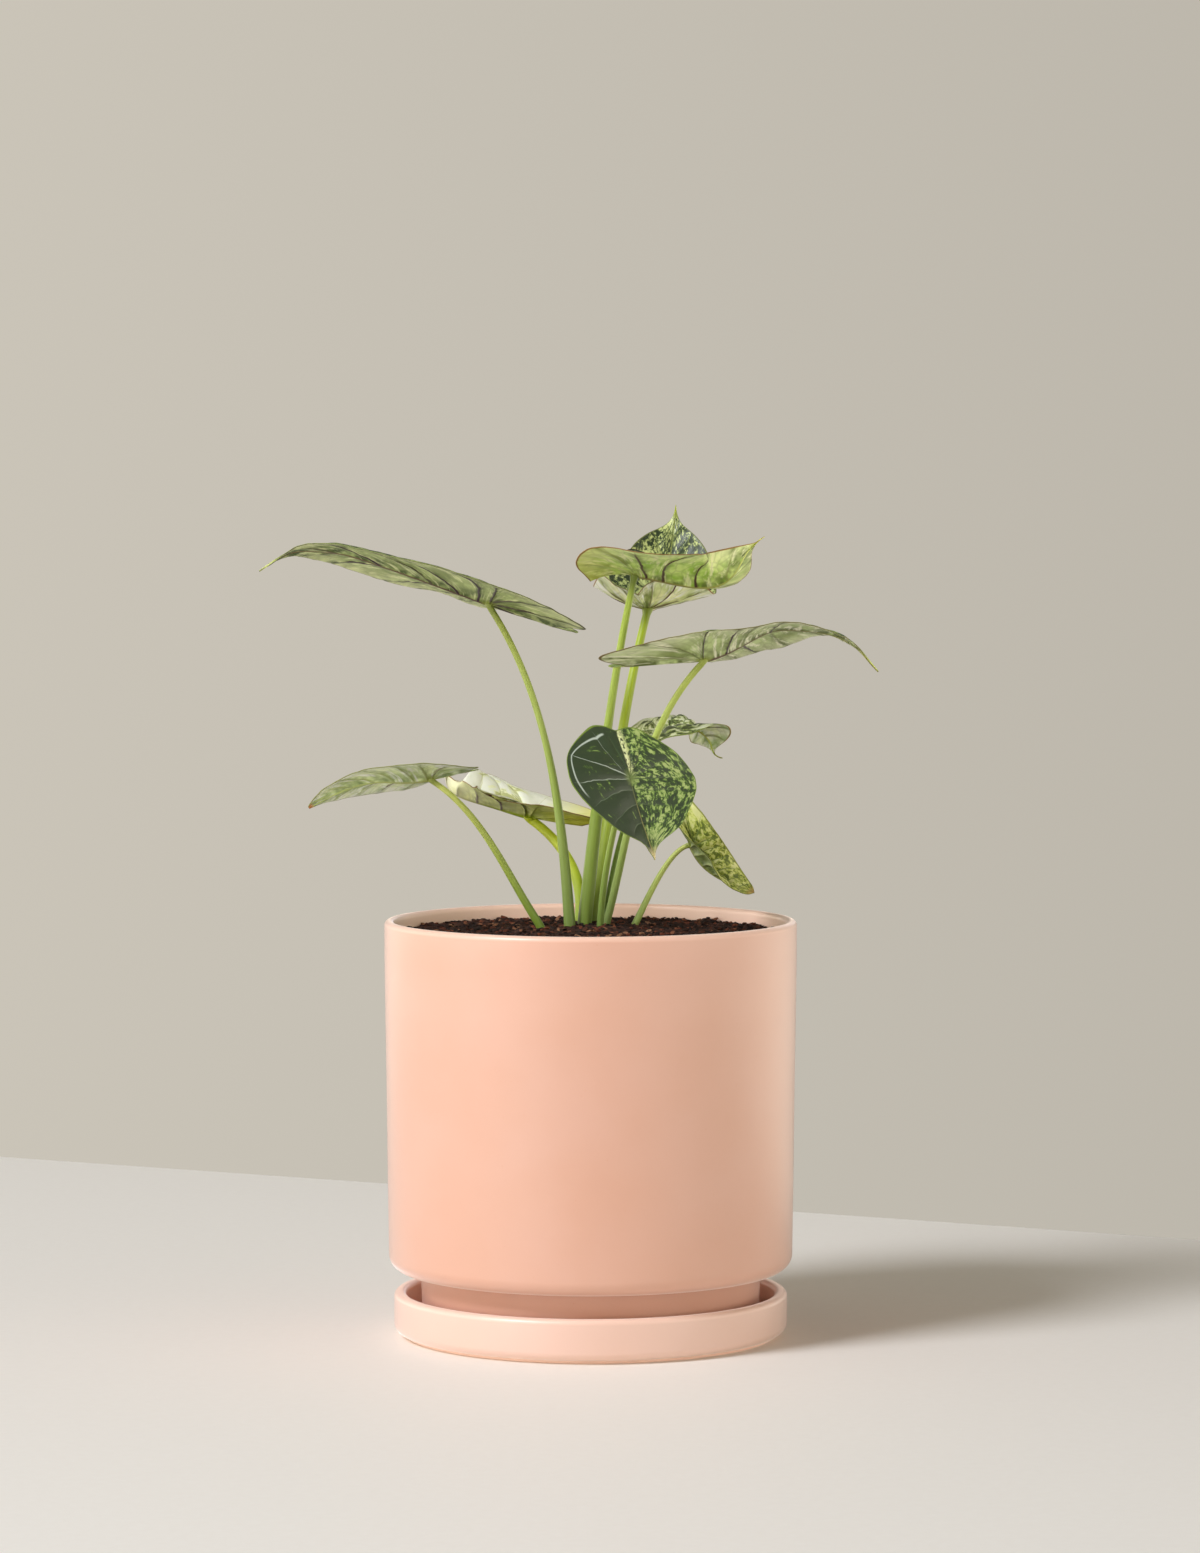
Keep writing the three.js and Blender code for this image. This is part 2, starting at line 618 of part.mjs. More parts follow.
for (const leaf of leaves) {
  addPiece(leaf.name + '_blade', bladeGeometry(leaf), { color: 0x5f8136, roughness: 0.5, metalness: 0 });
  const { points, up, belowSteps } = petiolePath(leaf);
  const stem = toSolid(tube(points, petioleRadii(leaf, points.length, belowSteps), STEM_SIDES, up));
  addPiece(leaf.name + '_petiole', toGeometry(stem.subtract(hollow)), petioleLook);
  const lower = points.slice(0, belowSteps + 2);
  const wide = petioleRadii(leaf, points.length, belowSteps, GAP + 0.05).slice(0, lower.length);
  const hole = toSolid(tube(lower, wide, STEM_SIDES));
  stemHoles = stemHoles ? stemHoles.add(hole) : hole;
}
addPiece('corm', toGeometry(cormSolid(0)), cormLook);

// Height of the potting mix: a low mound round the stems, with small crumbs
function soilHeight(x, y) {
  const r = Math.hypot(x, y);
  const mound = SOIL_MOUND * Math.exp(-((r / 34) ** 2));
  const crumbs = 0.7 * Math.sin(0.31 * x + 1.3) * Math.sin(0.27 * y + 0.4);
  const swells = 0.4 * Math.sin(0.13 * x - 0.19 * y);
  return SOIL_EDGE + mound + (crumbs + swells) * (1 - Math.exp(-((r / 20) ** 2)));
}

function soilGeometry() {
  const sectors = 32;
  const profile = [
    [innerFoot - 2.3, POT_FLOOR],
    [innerFoot - GAP, POT_FLOOR + 2.1],
    [innerFoot - GAP, BODY_BOTTOM + POT_WALL - 0.8],
    [innerFoot + 0.8, BODY_BOTTOM + POT_WALL + GAP],
    [innerBottom - 4.2, BODY_BOTTOM + POT_WALL + GAP],
    [innerBottom - GAP, BODY_BOTTOM + 10.2],
  ];
  const topRings = [innerTop - 0.6, 72, 58, 45, 33, 22, 11];
  const ring = (r, height) => {
    const points = [];
    for (let i = 0; i < sectors; i++) {
      const angle = (2 * Math.PI * i) / sectors;
      const x = r * Math.cos(angle);
      const y = r * Math.sin(angle);
      points.push(new THREE.Vector3(x, y, height === undefined ? soilHeight(x, y) : height));
    }
    return points;
  };
  const rings = [...profile.map(([r, z]) => ring(r, z)), ...topRings.map((r) => ring(r))];
  const triangles = [];
  const floor = new THREE.Vector3(0, 0, POT_FLOOR);
  const crest = new THREE.Vector3(0, 0, soilHeight(0, 0));
  for (let i = 0; i < sectors; i++) {
    const n = (i + 1) % sectors;
    for (let k = 0; k < rings.length - 1; k++) {
      triangles.push([rings[k][i], rings[k][n], rings[k + 1][n]]);
      triangles.push([rings[k][i], rings[k + 1][n], rings[k + 1][i]]);
    }
    triangles.push([floor, rings[0][n], rings[0][i]]);
    triangles.push([crest, rings[rings.length - 1][i], rings[rings.length - 1][n]]);
  }
  return weld(triangles);
}

const soil = toSolid(soilGeometry()).subtract(stemHoles.add(hollow));
addPiece('soil', toGeometry(soil), soilLook);

export default group;
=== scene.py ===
import math
from functools import partial
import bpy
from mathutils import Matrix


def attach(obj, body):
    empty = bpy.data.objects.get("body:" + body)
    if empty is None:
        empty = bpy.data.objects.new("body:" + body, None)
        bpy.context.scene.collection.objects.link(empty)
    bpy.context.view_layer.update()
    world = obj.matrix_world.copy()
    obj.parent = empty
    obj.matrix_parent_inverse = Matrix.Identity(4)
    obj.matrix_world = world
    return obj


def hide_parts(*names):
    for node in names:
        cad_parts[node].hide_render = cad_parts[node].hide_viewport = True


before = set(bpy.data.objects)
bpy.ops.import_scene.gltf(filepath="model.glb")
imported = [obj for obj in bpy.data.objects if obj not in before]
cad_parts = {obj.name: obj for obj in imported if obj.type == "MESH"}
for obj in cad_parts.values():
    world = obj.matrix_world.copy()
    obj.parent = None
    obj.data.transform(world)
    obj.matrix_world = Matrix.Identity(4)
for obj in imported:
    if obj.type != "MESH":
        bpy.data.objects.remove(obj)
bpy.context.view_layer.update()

from types import SimpleNamespace

import bmesh
import bpy
import numpy as np
from mathutils import Vector, noise

mm = 0.001
fullTurn = 2 * math.pi


def newObject(name, data, place=(0, 0, 0)):
    made = bpy.data.objects.new(name, data)
    made.location = place
    bpy.context.scene.collection.objects.link(made)
    return made


# Camera at the height and distance that the picture was taken from
camera = {
    "place": (0.0041, -2.3, 0.3755),  # m
    "pitch": 3.26,  # degrees below level
    "lens": 122.5,  # mm
}
cameraData = bpy.data.cameras.new("view")
cameraData.lens = camera["lens"]
cameraData.clip_end = 50
cameraObject = newObject("view", cameraData, camera["place"])
cameraObject.rotation_euler = (math.radians(90 - camera["pitch"]), 0, 0)
bpy.context.scene.camera = cameraObject


def linearColor(code):
    channels = [int(code[i:i + 2], 16) / 255 for i in (0, 2, 4)]
    return [c / 12.92 if c <= 0.04045 else ((c + 0.055) / 1.055) ** 2.4 for c in channels] + [1.0]


# Sets inputs by name or by place, each to a value, a hex colour, a socket or another node
def feed(node, inputs):
    shown = [s for s in node.inputs if s.enabled]
    for key, value in inputs.items() if isinstance(inputs, dict) else enumerate(inputs):
        socket = shown[key] if isinstance(key, int) else next(s for s in shown if s.name == key)
        if isinstance(value, bpy.types.Node):
            value = next(s for s in value.outputs if s.enabled)
        if isinstance(value, bpy.types.NodeSocket):
            node.id_data.links.new(value, socket)
        elif isinstance(value, str) and socket.type == "RGBA":
            socket.default_value = linearColor(value)
        else:
            socket.default_value = value


# Adds one node with its settings and links. A word after its kind is its operation, and Mix is for
# colours. By place, Mix takes a factor and two colours, MapRange a value, the ends it runs from and the
# ends it runs to, and TexNoise a place, scale, detail and roughness.
def addNode(tree, kind, inputs=(), stops=(), **settings):
    kind, _, operation = kind.partition(" ")
    plain = kind.startswith(("Geometry", "Function", "NodeGroup"))
    node = tree.nodes.new(kind if plain else "ShaderNode" + kind)
    if kind == "Mix":
        node.data_type = "RGBA"
    if operation:
        node.operation = operation
    for name, value in settings.items():
        setattr(node, name, value)
    for place, (at, code) in enumerate(stops):
        ramp = node.color_ramp.elements
        stop = ramp[place] if place < 2 else ramp.new(at)
        stop.position = at
        stop.color = linearColor(code)
    feed(node, inputs)
    return node


# Colours laid one over another, each by its own share
def layered(add, color, *layers):
    for share, over in layers:
        color = add("Mix", [share, color, over])
    return color


# A share cut down by further shares, each a value mapped from near to far
def cutDown(add, share, *spans):
    for span in spans:
        share = add("Math MULTIPLY", [add("MapRange", span), share])
    return share


# An empty material with its shader joined to the output
def newFinish(name, **shaderInputs):
    finish = bpy.data.materials.new(name)
    finish.use_nodes = True
    finish.node_tree.nodes.clear()
    add = partial(addNode, finish.node_tree)
    shader = add("BsdfPrincipled", {k.replace("_", " "): v for k, v in shaderInputs.items()})
    add("OutputMaterial", [shader])
    return finish, add, shader


def newPiece(name, mesh, node=None):
    piece = newObject(name, mesh)
    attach(piece, "root")
    if node:
        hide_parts(node)
    return piece


# A smooth mesh from points in millimetres
def smoothMesh(name, points, faces):
    mesh = bpy.data.meshes.new(name)
    mesh.from_pydata((np.array(points, float) * mm).tolist(), [], faces)
    mesh.polygons.foreach_set("use_smooth", [True] * len(faces))
    return mesh


# An object's mesh with its modifiers applied, where asked with merged seams and outward faces
def plainMesh(source, name, outward=True):
    graph = bpy.context.evaluated_depsgraph_get()
    mesh = bpy.data.meshes.new_from_object(source.evaluated_get(graph))
    mesh.name = name
    if outward:
        shape = bmesh.new()
        shape.from_mesh(mesh)
        bmesh.ops.remove_doubles(shape, verts=shape.verts, dist=1e-6)
        bmesh.ops.recalc_face_normals(shape, faces=shape.faces)
        shape.to_mesh(mesh)
        shape.free()
    bpy.data.objects.remove(source)
    return mesh


def treeOf(name, **sockets):
    tree = bpy.data.node_groups.new(name, "GeometryNodeTree")
    tree.interface.new_socket(name="Geometry", in_out="INPUT", socket_type="NodeSocketGeometry")
    for label, kind in sockets.items():
        tree.interface.new_socket(name=label, in_out="INPUT", socket_type="NodeSocket" + kind)
    tree.interface.new_socket(name="Geometry", in_out="OUTPUT", socket_type="NodeSocketGeometry")
    add = partial(addNode, tree)
    return tree, add, add("NodeGroupInput").outputs


def useTree(holder, tree, **values):
    modifier = holder.modifiers.new(tree.name, "NODES")
    modifier.node_group = tree
    for item in tree.interface.items_tree:
        if item.in_out == "INPUT" and item.name in values:
            modifier[item.identifier] = values[item.name]


# Stage: a pale table top that ends behind the pot, under one soft key light from the left
stageLook = {
    "floor": "f0ece3", "floorMottle": "f4f1e9",
    "backdrop": "c6c0b4",
    # Light of the room as shares of the backdrop's own brightness
    "front": 1.75, "sides": 4.4, "above": 0.1, "left": 1.05, "right": 0.9,
    "halfWidth": 4, "nearEdge": -5,  # m
    "farEdge": (0.587, 0.283),  # y of the far edge at the left and right of the picture
    "shownWidth": 0.6,  # m, how much of the far edge the picture shows
    "key": {"place": (-2.8, -2.2, 3.2), "size": 1.6, "power": 186, "color": "f4f6ff"},
}


# Matt paint on a smooth board: pale, with a faint mottle and hardly any gloss
def buildStage(look):
    left, right = look["farEdge"]
    shown, half, near = look["shownWidth"], look["halfWidth"], look["nearEdge"]
    beyond = (half - shown / 2) * (right - left) / shown
    corners = [(-half, near, 0), (half, near, 0), (half, right + beyond, 0), (-half, left - beyond, 0)]
    mesh = bpy.data.meshes.new("floor")
    mesh.from_pydata(corners, [], [(0, 1, 2, 3)])
    finish, add, shader = newFinish("painted table top", Roughness=0.6, Specular_IOR_Level=0.3)
    grain = add("TexNoise", [add("TexCoord").outputs["Object"], 220.0, 4.0])
    feed(shader, {"Base Color": add("Mix", [grain, look["floor"], look["floorMottle"]])})
    mesh.materials.append(finish)
    newObject("floor", mesh)

    world = bpy.data.worlds.new("room light")
    world.use_nodes = True
    add = partial(addNode, world.node_tree)
    towards = add("SeparateXYZ", [add("TexCoord").outputs["Generated"]]).outputs
    strength = cutDown(
        add, 1.0,
        (towards["Y"], -0.7, 0.1, look["front"], 1.0),
        (towards["X"], -0.12, 0.12, look["left"], look["right"]),
        (add("Math ABSOLUTE", [towards["X"]]), 0.25, 0.85, 1.0, look["sides"]),
        (towards["Z"], 0.12, 0.5, 1.0, look["above"]))
    feed(world.node_tree.nodes["Background"], {"Color": look["backdrop"], "Strength": strength})
    bpy.context.scene.world = world

    key = look["key"]
    lightData = bpy.data.lights.new("key", "AREA")
    lightData.shape = "DISK"
    lightData.size = key["size"]
    lightData.energy = key["power"]
    lightData.color = linearColor(key["color"])[:3]
    light = newObject("key", lightData, key["place"])
    aim = Vector((0, 0, 0.15)) - light.location
    light.rotation_euler = aim.to_track_quat("-Z", "Y").to_euler()
    bpy.context.scene.view_settings.view_transform = "Standard"


buildStage(stageLook)
print("stage: floor and lights")


# Pot and saucer: slip-cast stoneware, turned from their profiles
# Matte glaze fired on pale clay: even colour, a fine speckle, slight pooling and a soft broad highlight
glaze = {
    "body": "d2a490", "warm": "d0a08a", "speck": "c98f74", "paleTone": "f3e0d6",
    # Painted light: the inside colour pales the inner wall near the top and the rim, for the light they catch
    "inside": "fbd6c2", "insideLightShare": 0.9, "rimLightShare": 0.7,
    "roughness": 0.42, "ior": 1.5,
    "speckSize": 0.5,  # mm, iron specks drawn coarse enough to show
    "cloudSize": 45,  # mm, how far the glaze's thickness drifts
}
# Both shapes are in millimetres, with the number of steps round them
potShape = {
    "radius": 90, "top": 182, "wall": 4.4, "floor": 14, "bodyBottom": 29, "footRadius": 73.6,
    "drainRadius": 6, "cornerRound": 7, "innerBottom": 84, "steps": 256,
}
saucerShape = {"radius": 86, "top": 19.4, "wall": 5.5, "floor": 6, "steps": 256}
innerFoot = potShape["footRadius"] - potShape["wall"]
ledge = potShape["bodyBottom"] + potShape["wall"]


def arcPoints(centreR, centreZ, radius, start, stop, steps):
    angles = np.radians(np.linspace(start, stop, steps + 1))
    return [(centreR + radius * math.cos(a), centreZ + radius * math.sin(a)) for a in angles]


def potProfile(pot, saucerFloor):
    radius, top, wall, floor, bottom, foot, drain, corner, inner = (pot[key] for key in (
        "radius", "top", "wall", "floor", "bodyBottom", "footRadius", "drainRadius", "cornerRound",
        "innerBottom"))
    under = saucerFloor + 3.5
    lip = wall / 2
    return [
        (drain, under), (innerFoot - 3, under), (innerFoot - 2, under - 0.6),
        (innerFoot - 1.5, saucerFloor), (foot - 0.8, saucerFloor),
        *arcPoints(foot - 0.8, saucerFloor + 0.8, 0.8, -60, 0, 3),
        (foot + 0.5, saucerFloor + 14), (foot + 0.9, bottom - 1.2), (foot + 1.5, bottom - 0.25),
        (foot + 2.6, bottom),
        *arcPoints(81.3, bottom + corner, corner, -90, 0, 14),
        (88.75, 70), (89.2, 110), (89.65, 140), (radius, top - 16),
        *arcPoints(radius - lip, top - lip, lip, 0, 180, 16),
        (inner + 0.8, 110), (inner, bottom + 10), (inner - 1.2, ledge + 1.4), (inner - 4, ledge),
        (innerFoot + 1, ledge), (innerFoot, ledge - 1), (innerFoot, floor + 2),
        (innerFoot - 0.6, floor + 0.6), (innerFoot - 2, floor), (drain + 0.6, floor), (drain, floor - 0.6),
    ]


def saucerProfile(saucer):
    radius, top, wall, floor = (saucer[key] for key in ("radius", "top", "wall", "floor"))
    inner = radius - wall
    return [
        (0.01, 0), (80.6, 0),
        *arcPoints(80.6, 0.6, 0.6, -60, 0, 3),
        (81.2, 1.2), (81.5, 1.5),
        *arcPoints(radius - 4, 5.5, 4, -90, 0, 10),
        (radius + 0.05, 11),
        *arcPoints(radius - 2.2, top - 2.2, 2.2, 0, 90, 8),
        *arcPoints(inner + 2.2, top - 2.2, 2.2, 90, 180, 8),
        (inner, floor + 3),
        *arcPoints(inner - 3, floor + 3, 3, 0, -90, 6)[1:],
        (0.01, floor),
    ]


# The profile as a line of edges is carried round a circle of middle radius
def turningTree():
    tree, add, given = treeOf("turned ware", Middle="Float", Steps="Int", Glaze="Material")
    profile = add("GeometryNodeMeshToCurve", [given["Geometry"]])
    wheel = add("GeometryNodeCurvePrimitiveCircle", {"Resolution": given["Steps"], "Radius": given["Middle"]},
                mode="RADIUS")
    level = add("GeometryNodeSetCurveNormal", {"Curve": wheel}, mode="Z_UP")
    swept = add("GeometryNodeCurveToMesh", {"Curve": level, "Profile Curve": profile})
    closed = add("GeometryNodeMergeByDistance", {"Geometry": swept, "Distance": 2e-5})
    smooth = add("GeometryNodeSetShadeSmooth", [closed])
    add("NodeGroupOutput", [add("GeometryNodeSetMaterial", {"Geometry": smooth, "Material": given["Glaze"]})])
    return tree


def glazeFinish(name, look, shape, paler):
    finish, add, shader = newFinish(name, Roughness=look["roughness"], IOR=look["ior"], Sheen_Weight=1.0,
                                    Sheen_Roughness=0.35, Sheen_Tint="fff2ee", Coat_Weight=0.5,
                                    Coat_Roughness=0.3)
    place = add("TexCoord").outputs["Object"]
    drift = add("MapRange", [add("TexNoise", [place, 1000 / look["cloudSize"], 3.0]), 0.35, 0.65])
    speckle = add("TexNoise", [place, 1000 / (look["speckSize"] * 2.2), 2.0])
    specks = add("MapRange", [speckle, 0.70, 0.78, 0.0, 0.35])
    # Painted light: the inside of the wall near the top and the rim are mixed paler, standing in for the
    # light they catch
    x, y, z = add("SeparateXYZ", [place]).outputs
    outward = add("VectorMath LENGTH", [add("CombineXYZ", [x, y, 0.0])]).outputs["Value"]
    radius, top, wall = (shape[key] * mm for key in ("radius", "top", "wall"))
    inside = cutDown(add, 1.0, (outward, radius, radius - wall, 0.0, look["insideLightShare"]),
                     (z, top - 40 * mm, top - 20 * mm))
    rim = add("MapRange", [z, top - 2.5 * mm, top, 0.0, look["rimLightShare"]])
    paintedLightInsideAndRim = add("Math MAXIMUM", [inside, rim])
    color = layered(add, look["body"], (drift, look["warm"]), (specks, look["speck"]),
                    (paler, look["paleTone"]), (paintedLightInsideAndRim, look["inside"]))
    grain = add("TexNoise", [place, 1400.0, 3.0])
    gloss = add("MapRange", [grain, 0.0, 1.0, look["roughness"] - 0.06, look["roughness"] + 0.1])
    swell = add("TexNoise", [place, 90.0, 2.0])
    coarse = add("Bump", {"Height": swell, "Strength": 0.15, "Distance": 0.0004})
    fine = add("Bump", {"Height": grain, "Strength": 0.2, "Distance": 0.0001, "Normal": coarse})
    feed(shader, {"Base Color": color, "Roughness": gloss, "Normal": fine})
    return finish


def turnedPiece(name, node, profile, closed, shape, paler):
    middle = 50 * mm
    finish = glazeFinish("matte glazed stoneware, " + node, glaze, shape, paler)
    line = bpy.data.meshes.new(name + "Profile")
    count = len(profile)
    edges = [(i, i + 1) for i in range(count - 1)] + ([(count - 1, 0)] if closed else [])
    line.from_pydata([(r * mm - middle, -z * mm, 0) for r, z in profile], edges, [])
    holder = newObject(name + "Holder", line)
    useTree(holder, turning, Middle=middle, Steps=shape["steps"], Glaze=finish)
    return newPiece(name, plainMesh(holder, name), node)


turning = turningTree()
pot = turnedPiece("potWare", "pot", potProfile(potShape, saucerShape["floor"]), True, potShape, 0.0)
# The saucer's glaze is mixed a third of the way to the pale tone, paler and whiter than the pot's
saucer = turnedPiece("saucerWare", "saucer", saucerProfile(saucerShape), False, saucerShape, 0.34)
print("pot and saucer:", len(pot.data.polygons), len(saucer.data.polygons), "faces")


# Potting mix: a lumpy, crumbly bed with bark chips on it
mix = {
    "edge": 175.6,  # mm, height at the wall
    "mound": 4.6, "moundWidth": 34,  # mm, how much higher the middle is, and how far that reaches
    "gap": 0.3,  # mm, from the pot's inside
    "sectors": 180, "rings": 60,
    "lumps": ((0.9, 5.5), (0.5, 2.3), (0.25, 1.1)),  # mm, height and size
    "wet": "24160f", "dry": "513624", "peat": "35211a",
    "crumb": "83442c", "chipShade": "140c08",
    "chipTones": ((0.0, "1a100b"), (0.45, "321c14"), (0.72, "4a2a1c"), (0.88, "83442c"), (1.0, "a5795a")),
    "chipSize": 3.4,  # mm, mean length of a bark chip
    "chipGap": 2.1,  # mm, least distance between chips
    "chipsAbove": 170, "chipSlope": 0.3,  # mm, and the least upward share of the bed's normal
    "chipDensity": 260000.0,  # a square metre, before the least distance is kept
    "chipForms": 5, "chipBall": 0.55, "chipRoughness": (1.1, 1.1, 0.9), "seed": 7,
    # Least and most turn in radians, and share of the size, along each axis of a chip
    "turns": ((-0.5, -0.5, 0.0), (0.5, 0.5, 6.283)), "shares": ((0.45, 0.3, 0.2), (1.35, 0.75, 0.5)),
}


def mixHeight(x, y):
    r = math.hypot(x, y)
    mound = mix["mound"] * math.exp(-((r / mix["moundWidth"]) ** 2))
    crumbs = 0.7 * math.sin(0.31 * x + 1.3) * math.sin(0.27 * y + 0.4)
    swells = 0.4 * math.sin(0.13 * x - 0.19 * y)
    return mix["edge"] + mound + (crumbs + swells) * (1 - math.exp(-((r / 20) ** 2)))


def buildMix():
    floor, inside, gap, sectors = potShape["floor"], potShape["innerBottom"], mix["gap"], mix["sectors"]
    wall = [
        (innerFoot - 2.3, floor), (innerFoot - gap, floor + 2.1), (innerFoot - gap, ledge - 0.8),
        (innerFoot + 0.8, ledge + gap), (inside - 4.2, ledge + gap), (inside - gap, ledge + 6),
    ]
    outer = potShape["radius"] - potShape["wall"] - 2 * gap
    angles = np.linspace(0, fullTurn, sectors, endpoint=False)
    points = [(0, 0, floor)]
    points += [(r * math.cos(a), r * math.sin(a), z) for r, z in wall for a in angles]
    for r in np.linspace(outer, 1.2, mix["rings"]):
        for a in angles:
            x, y = r * math.cos(a), r * math.sin(a)
            spot = Vector((x, y, 0))
            lumps = sum(height * noise.noise(spot / size) for height, size in mix["lumps"])
            points.append((x, y, mixHeight(x, y) + lumps * min(1, (outer + 1 - r) / 3)))
    points.append((0, 0, mixHeight(0, 0)))
    faces = []
    ringCount = len(wall) + mix["rings"]
    last = 1 + (ringCount - 1) * sectors
    for i in range(sectors):
        n = (i + 1) % sectors
        faces.append((0, 1 + n, 1 + i))
        for a in range(1, last, sectors):
            faces.append((a + i, a + n, a + sectors + n, a + sectors + i))
        faces.append((len(points) - 1, last + i, last + n))
    return smoothMesh("pottingMix", points, faces)


# Damp peat and composted bark: near black, dull, with paler dry fibres
def mixFinish():
    finish, add, shader = newFinish("peat and bark potting mix", Roughness=0.92, Specular_IOR_Level=0.25)
    place = add("TexCoord").outputs["Object"]
    lumps = add("TexNoise", [place, 1000 / 6, 6.0])
    tone = add("ValToRGB", [lumps], stops=[(0.35, mix["wet"]), (0.52, mix["peat"]), (0.7, mix["dry"])])
    crumbs = add("TexVoronoi", [place, 1000 / 1.6], feature="F1").outputs
    crumbTone = add("MapRange", [crumbs["Color"], 0.6, 1.0, 0.0, 0.4])
    bump = add("Bump", {"Height": crumbs["Distance"], "Strength": 0.8, "Distance": 0.0008}, invert=True)
    feed(shader, {"Base Color": add("Mix", [crumbTone, tone, mix["crumb"]]), "Normal": bump})
    return finish


# Composted bark: rough flakes from near black to red-brown
def chipFinish():
    finish, add, shader = newFinish("composted bark chips", Roughness=0.88, Specular_IOR_Level=0.3)
    tone = add("Attribute", attribute_name="chipTone").outputs["Fac"]
    color = add("ValToRGB", [tone], stops=mix["chipTones"])
    stretched = add("Mapping", {"Vector": add("TexCoord").outputs["Object"], "Scale": (1.0, 1.0, 3.0)})
    fibres = add("TexNoise", [stretched, 1000 / 0.8, 4.0])
    dark = add("MapRange", [fibres, 0.3, 0.7, 0.7, 0.0])
    bump = add("Bump", {"Height": fibres, "Strength": 0.7, "Distance": 0.0003})
    feed(shader, {"Base Color": add("Mix", [dark, color, mix["chipShade"]]), "Normal": bump})
    return finish


# Chips of five forms, pushed out of shape from one small ball, on the upper side of the bed
def chipTree():
    tree, add, given = treeOf("bark chips", Size="Float", Gap="Float", Seed="Int", Bark="Material")
    rise = add("SeparateXYZ", [add("GeometryNodeInputNormal")]).outputs["Z"]
    height = add("SeparateXYZ", [add("GeometryNodeInputPosition")]).outputs["Z"]
    topOnly = add("Math MULTIPLY", [
        add("Math GREATER_THAN", [height, mix["chipsAbove"] * mm]),
        add("Math GREATER_THAN", [rise, mix["chipSlope"]])])
    spread = add("GeometryNodeDistributePointsOnFaces", {
        "Mesh": given["Geometry"], "Selection": topOnly, "Distance Min": given["Gap"],
        "Density Max": mix["chipDensity"], "Seed": given["Seed"]}, distribute_method="POISSON")
    ball = add("GeometryNodeMeshIcoSphere", {"Radius": mix["chipBall"], "Subdivisions": 1}).outputs["Mesh"]
    forms = []
    for form in range(mix["chipForms"]):
        at = add("VectorMath ADD", [add("GeometryNodeInputPosition"), (form * 7.1, 3.3, 1.7)])
        rough = add("TexNoise", [at, 1.9, 2.0]).outputs["Color"]
        push = add("VectorMath SUBTRACT", [rough, (0.5, 0.5, 0.5)])
        offset = add("VectorMath MULTIPLY", [push, mix["chipRoughness"]])
        forms.append(add("GeometryNodeSetPosition", {"Geometry": ball, "Offset": offset}))
    kinds = add("GeometryNodeGeometryToInstance")
    for form in forms:
        tree.links.new(form.outputs[0], kinds.inputs[0])
    turn, share, which, tone = (
        add("FunctionNodeRandomValue", {"Min": low, "Max": high, "Seed": seed}, data_type=kind)
        for (low, high), seed, kind in (
            (mix["turns"], 3, "FLOAT_VECTOR"), (mix["shares"], 5, "FLOAT_VECTOR"),
            ((0, mix["chipForms"] - 1), 11, "INT"), ((0.0, 1.0), 17, "FLOAT")))
    size = add("VectorMath SCALE", {"Vector": share, "Scale": given["Size"]})
    placed = add("GeometryNodeInstanceOnPoints", {
        "Points": spread, "Instance": kinds, "Pick Instance": True, "Instance Index": which,
        "Rotation": turn, "Scale": size})
    toned = add("GeometryNodeStoreNamedAttribute", {"Geometry": placed, "Name": "chipTone", "Value": tone},
                data_type="FLOAT", domain="INSTANCE")
    real = add("GeometryNodeRealizeInstances", [toned])
    add("NodeGroupOutput", [add("GeometryNodeSetMaterial", {"Geometry": real, "Material": given["Bark"]})])
    return tree


mixMesh = buildMix()
mixMesh.materials.append(mixFinish())
bed = newPiece("pottingMix", mixMesh, "soil")
holder = newObject("chipHolder", mixMesh.copy())
useTree(holder, chipTree(), Size=mix["chipSize"] * mm, Gap=mix["chipGap"] * mm, Seed=mix["seed"],
        Bark=chipFinish())
chips = newPiece("barkChips", plainMesh(holder, "barkChips", outward=False))
print("potting mix:", len(bed.data.polygons), "faces, chips", len(chips.data.polygons), "faces")
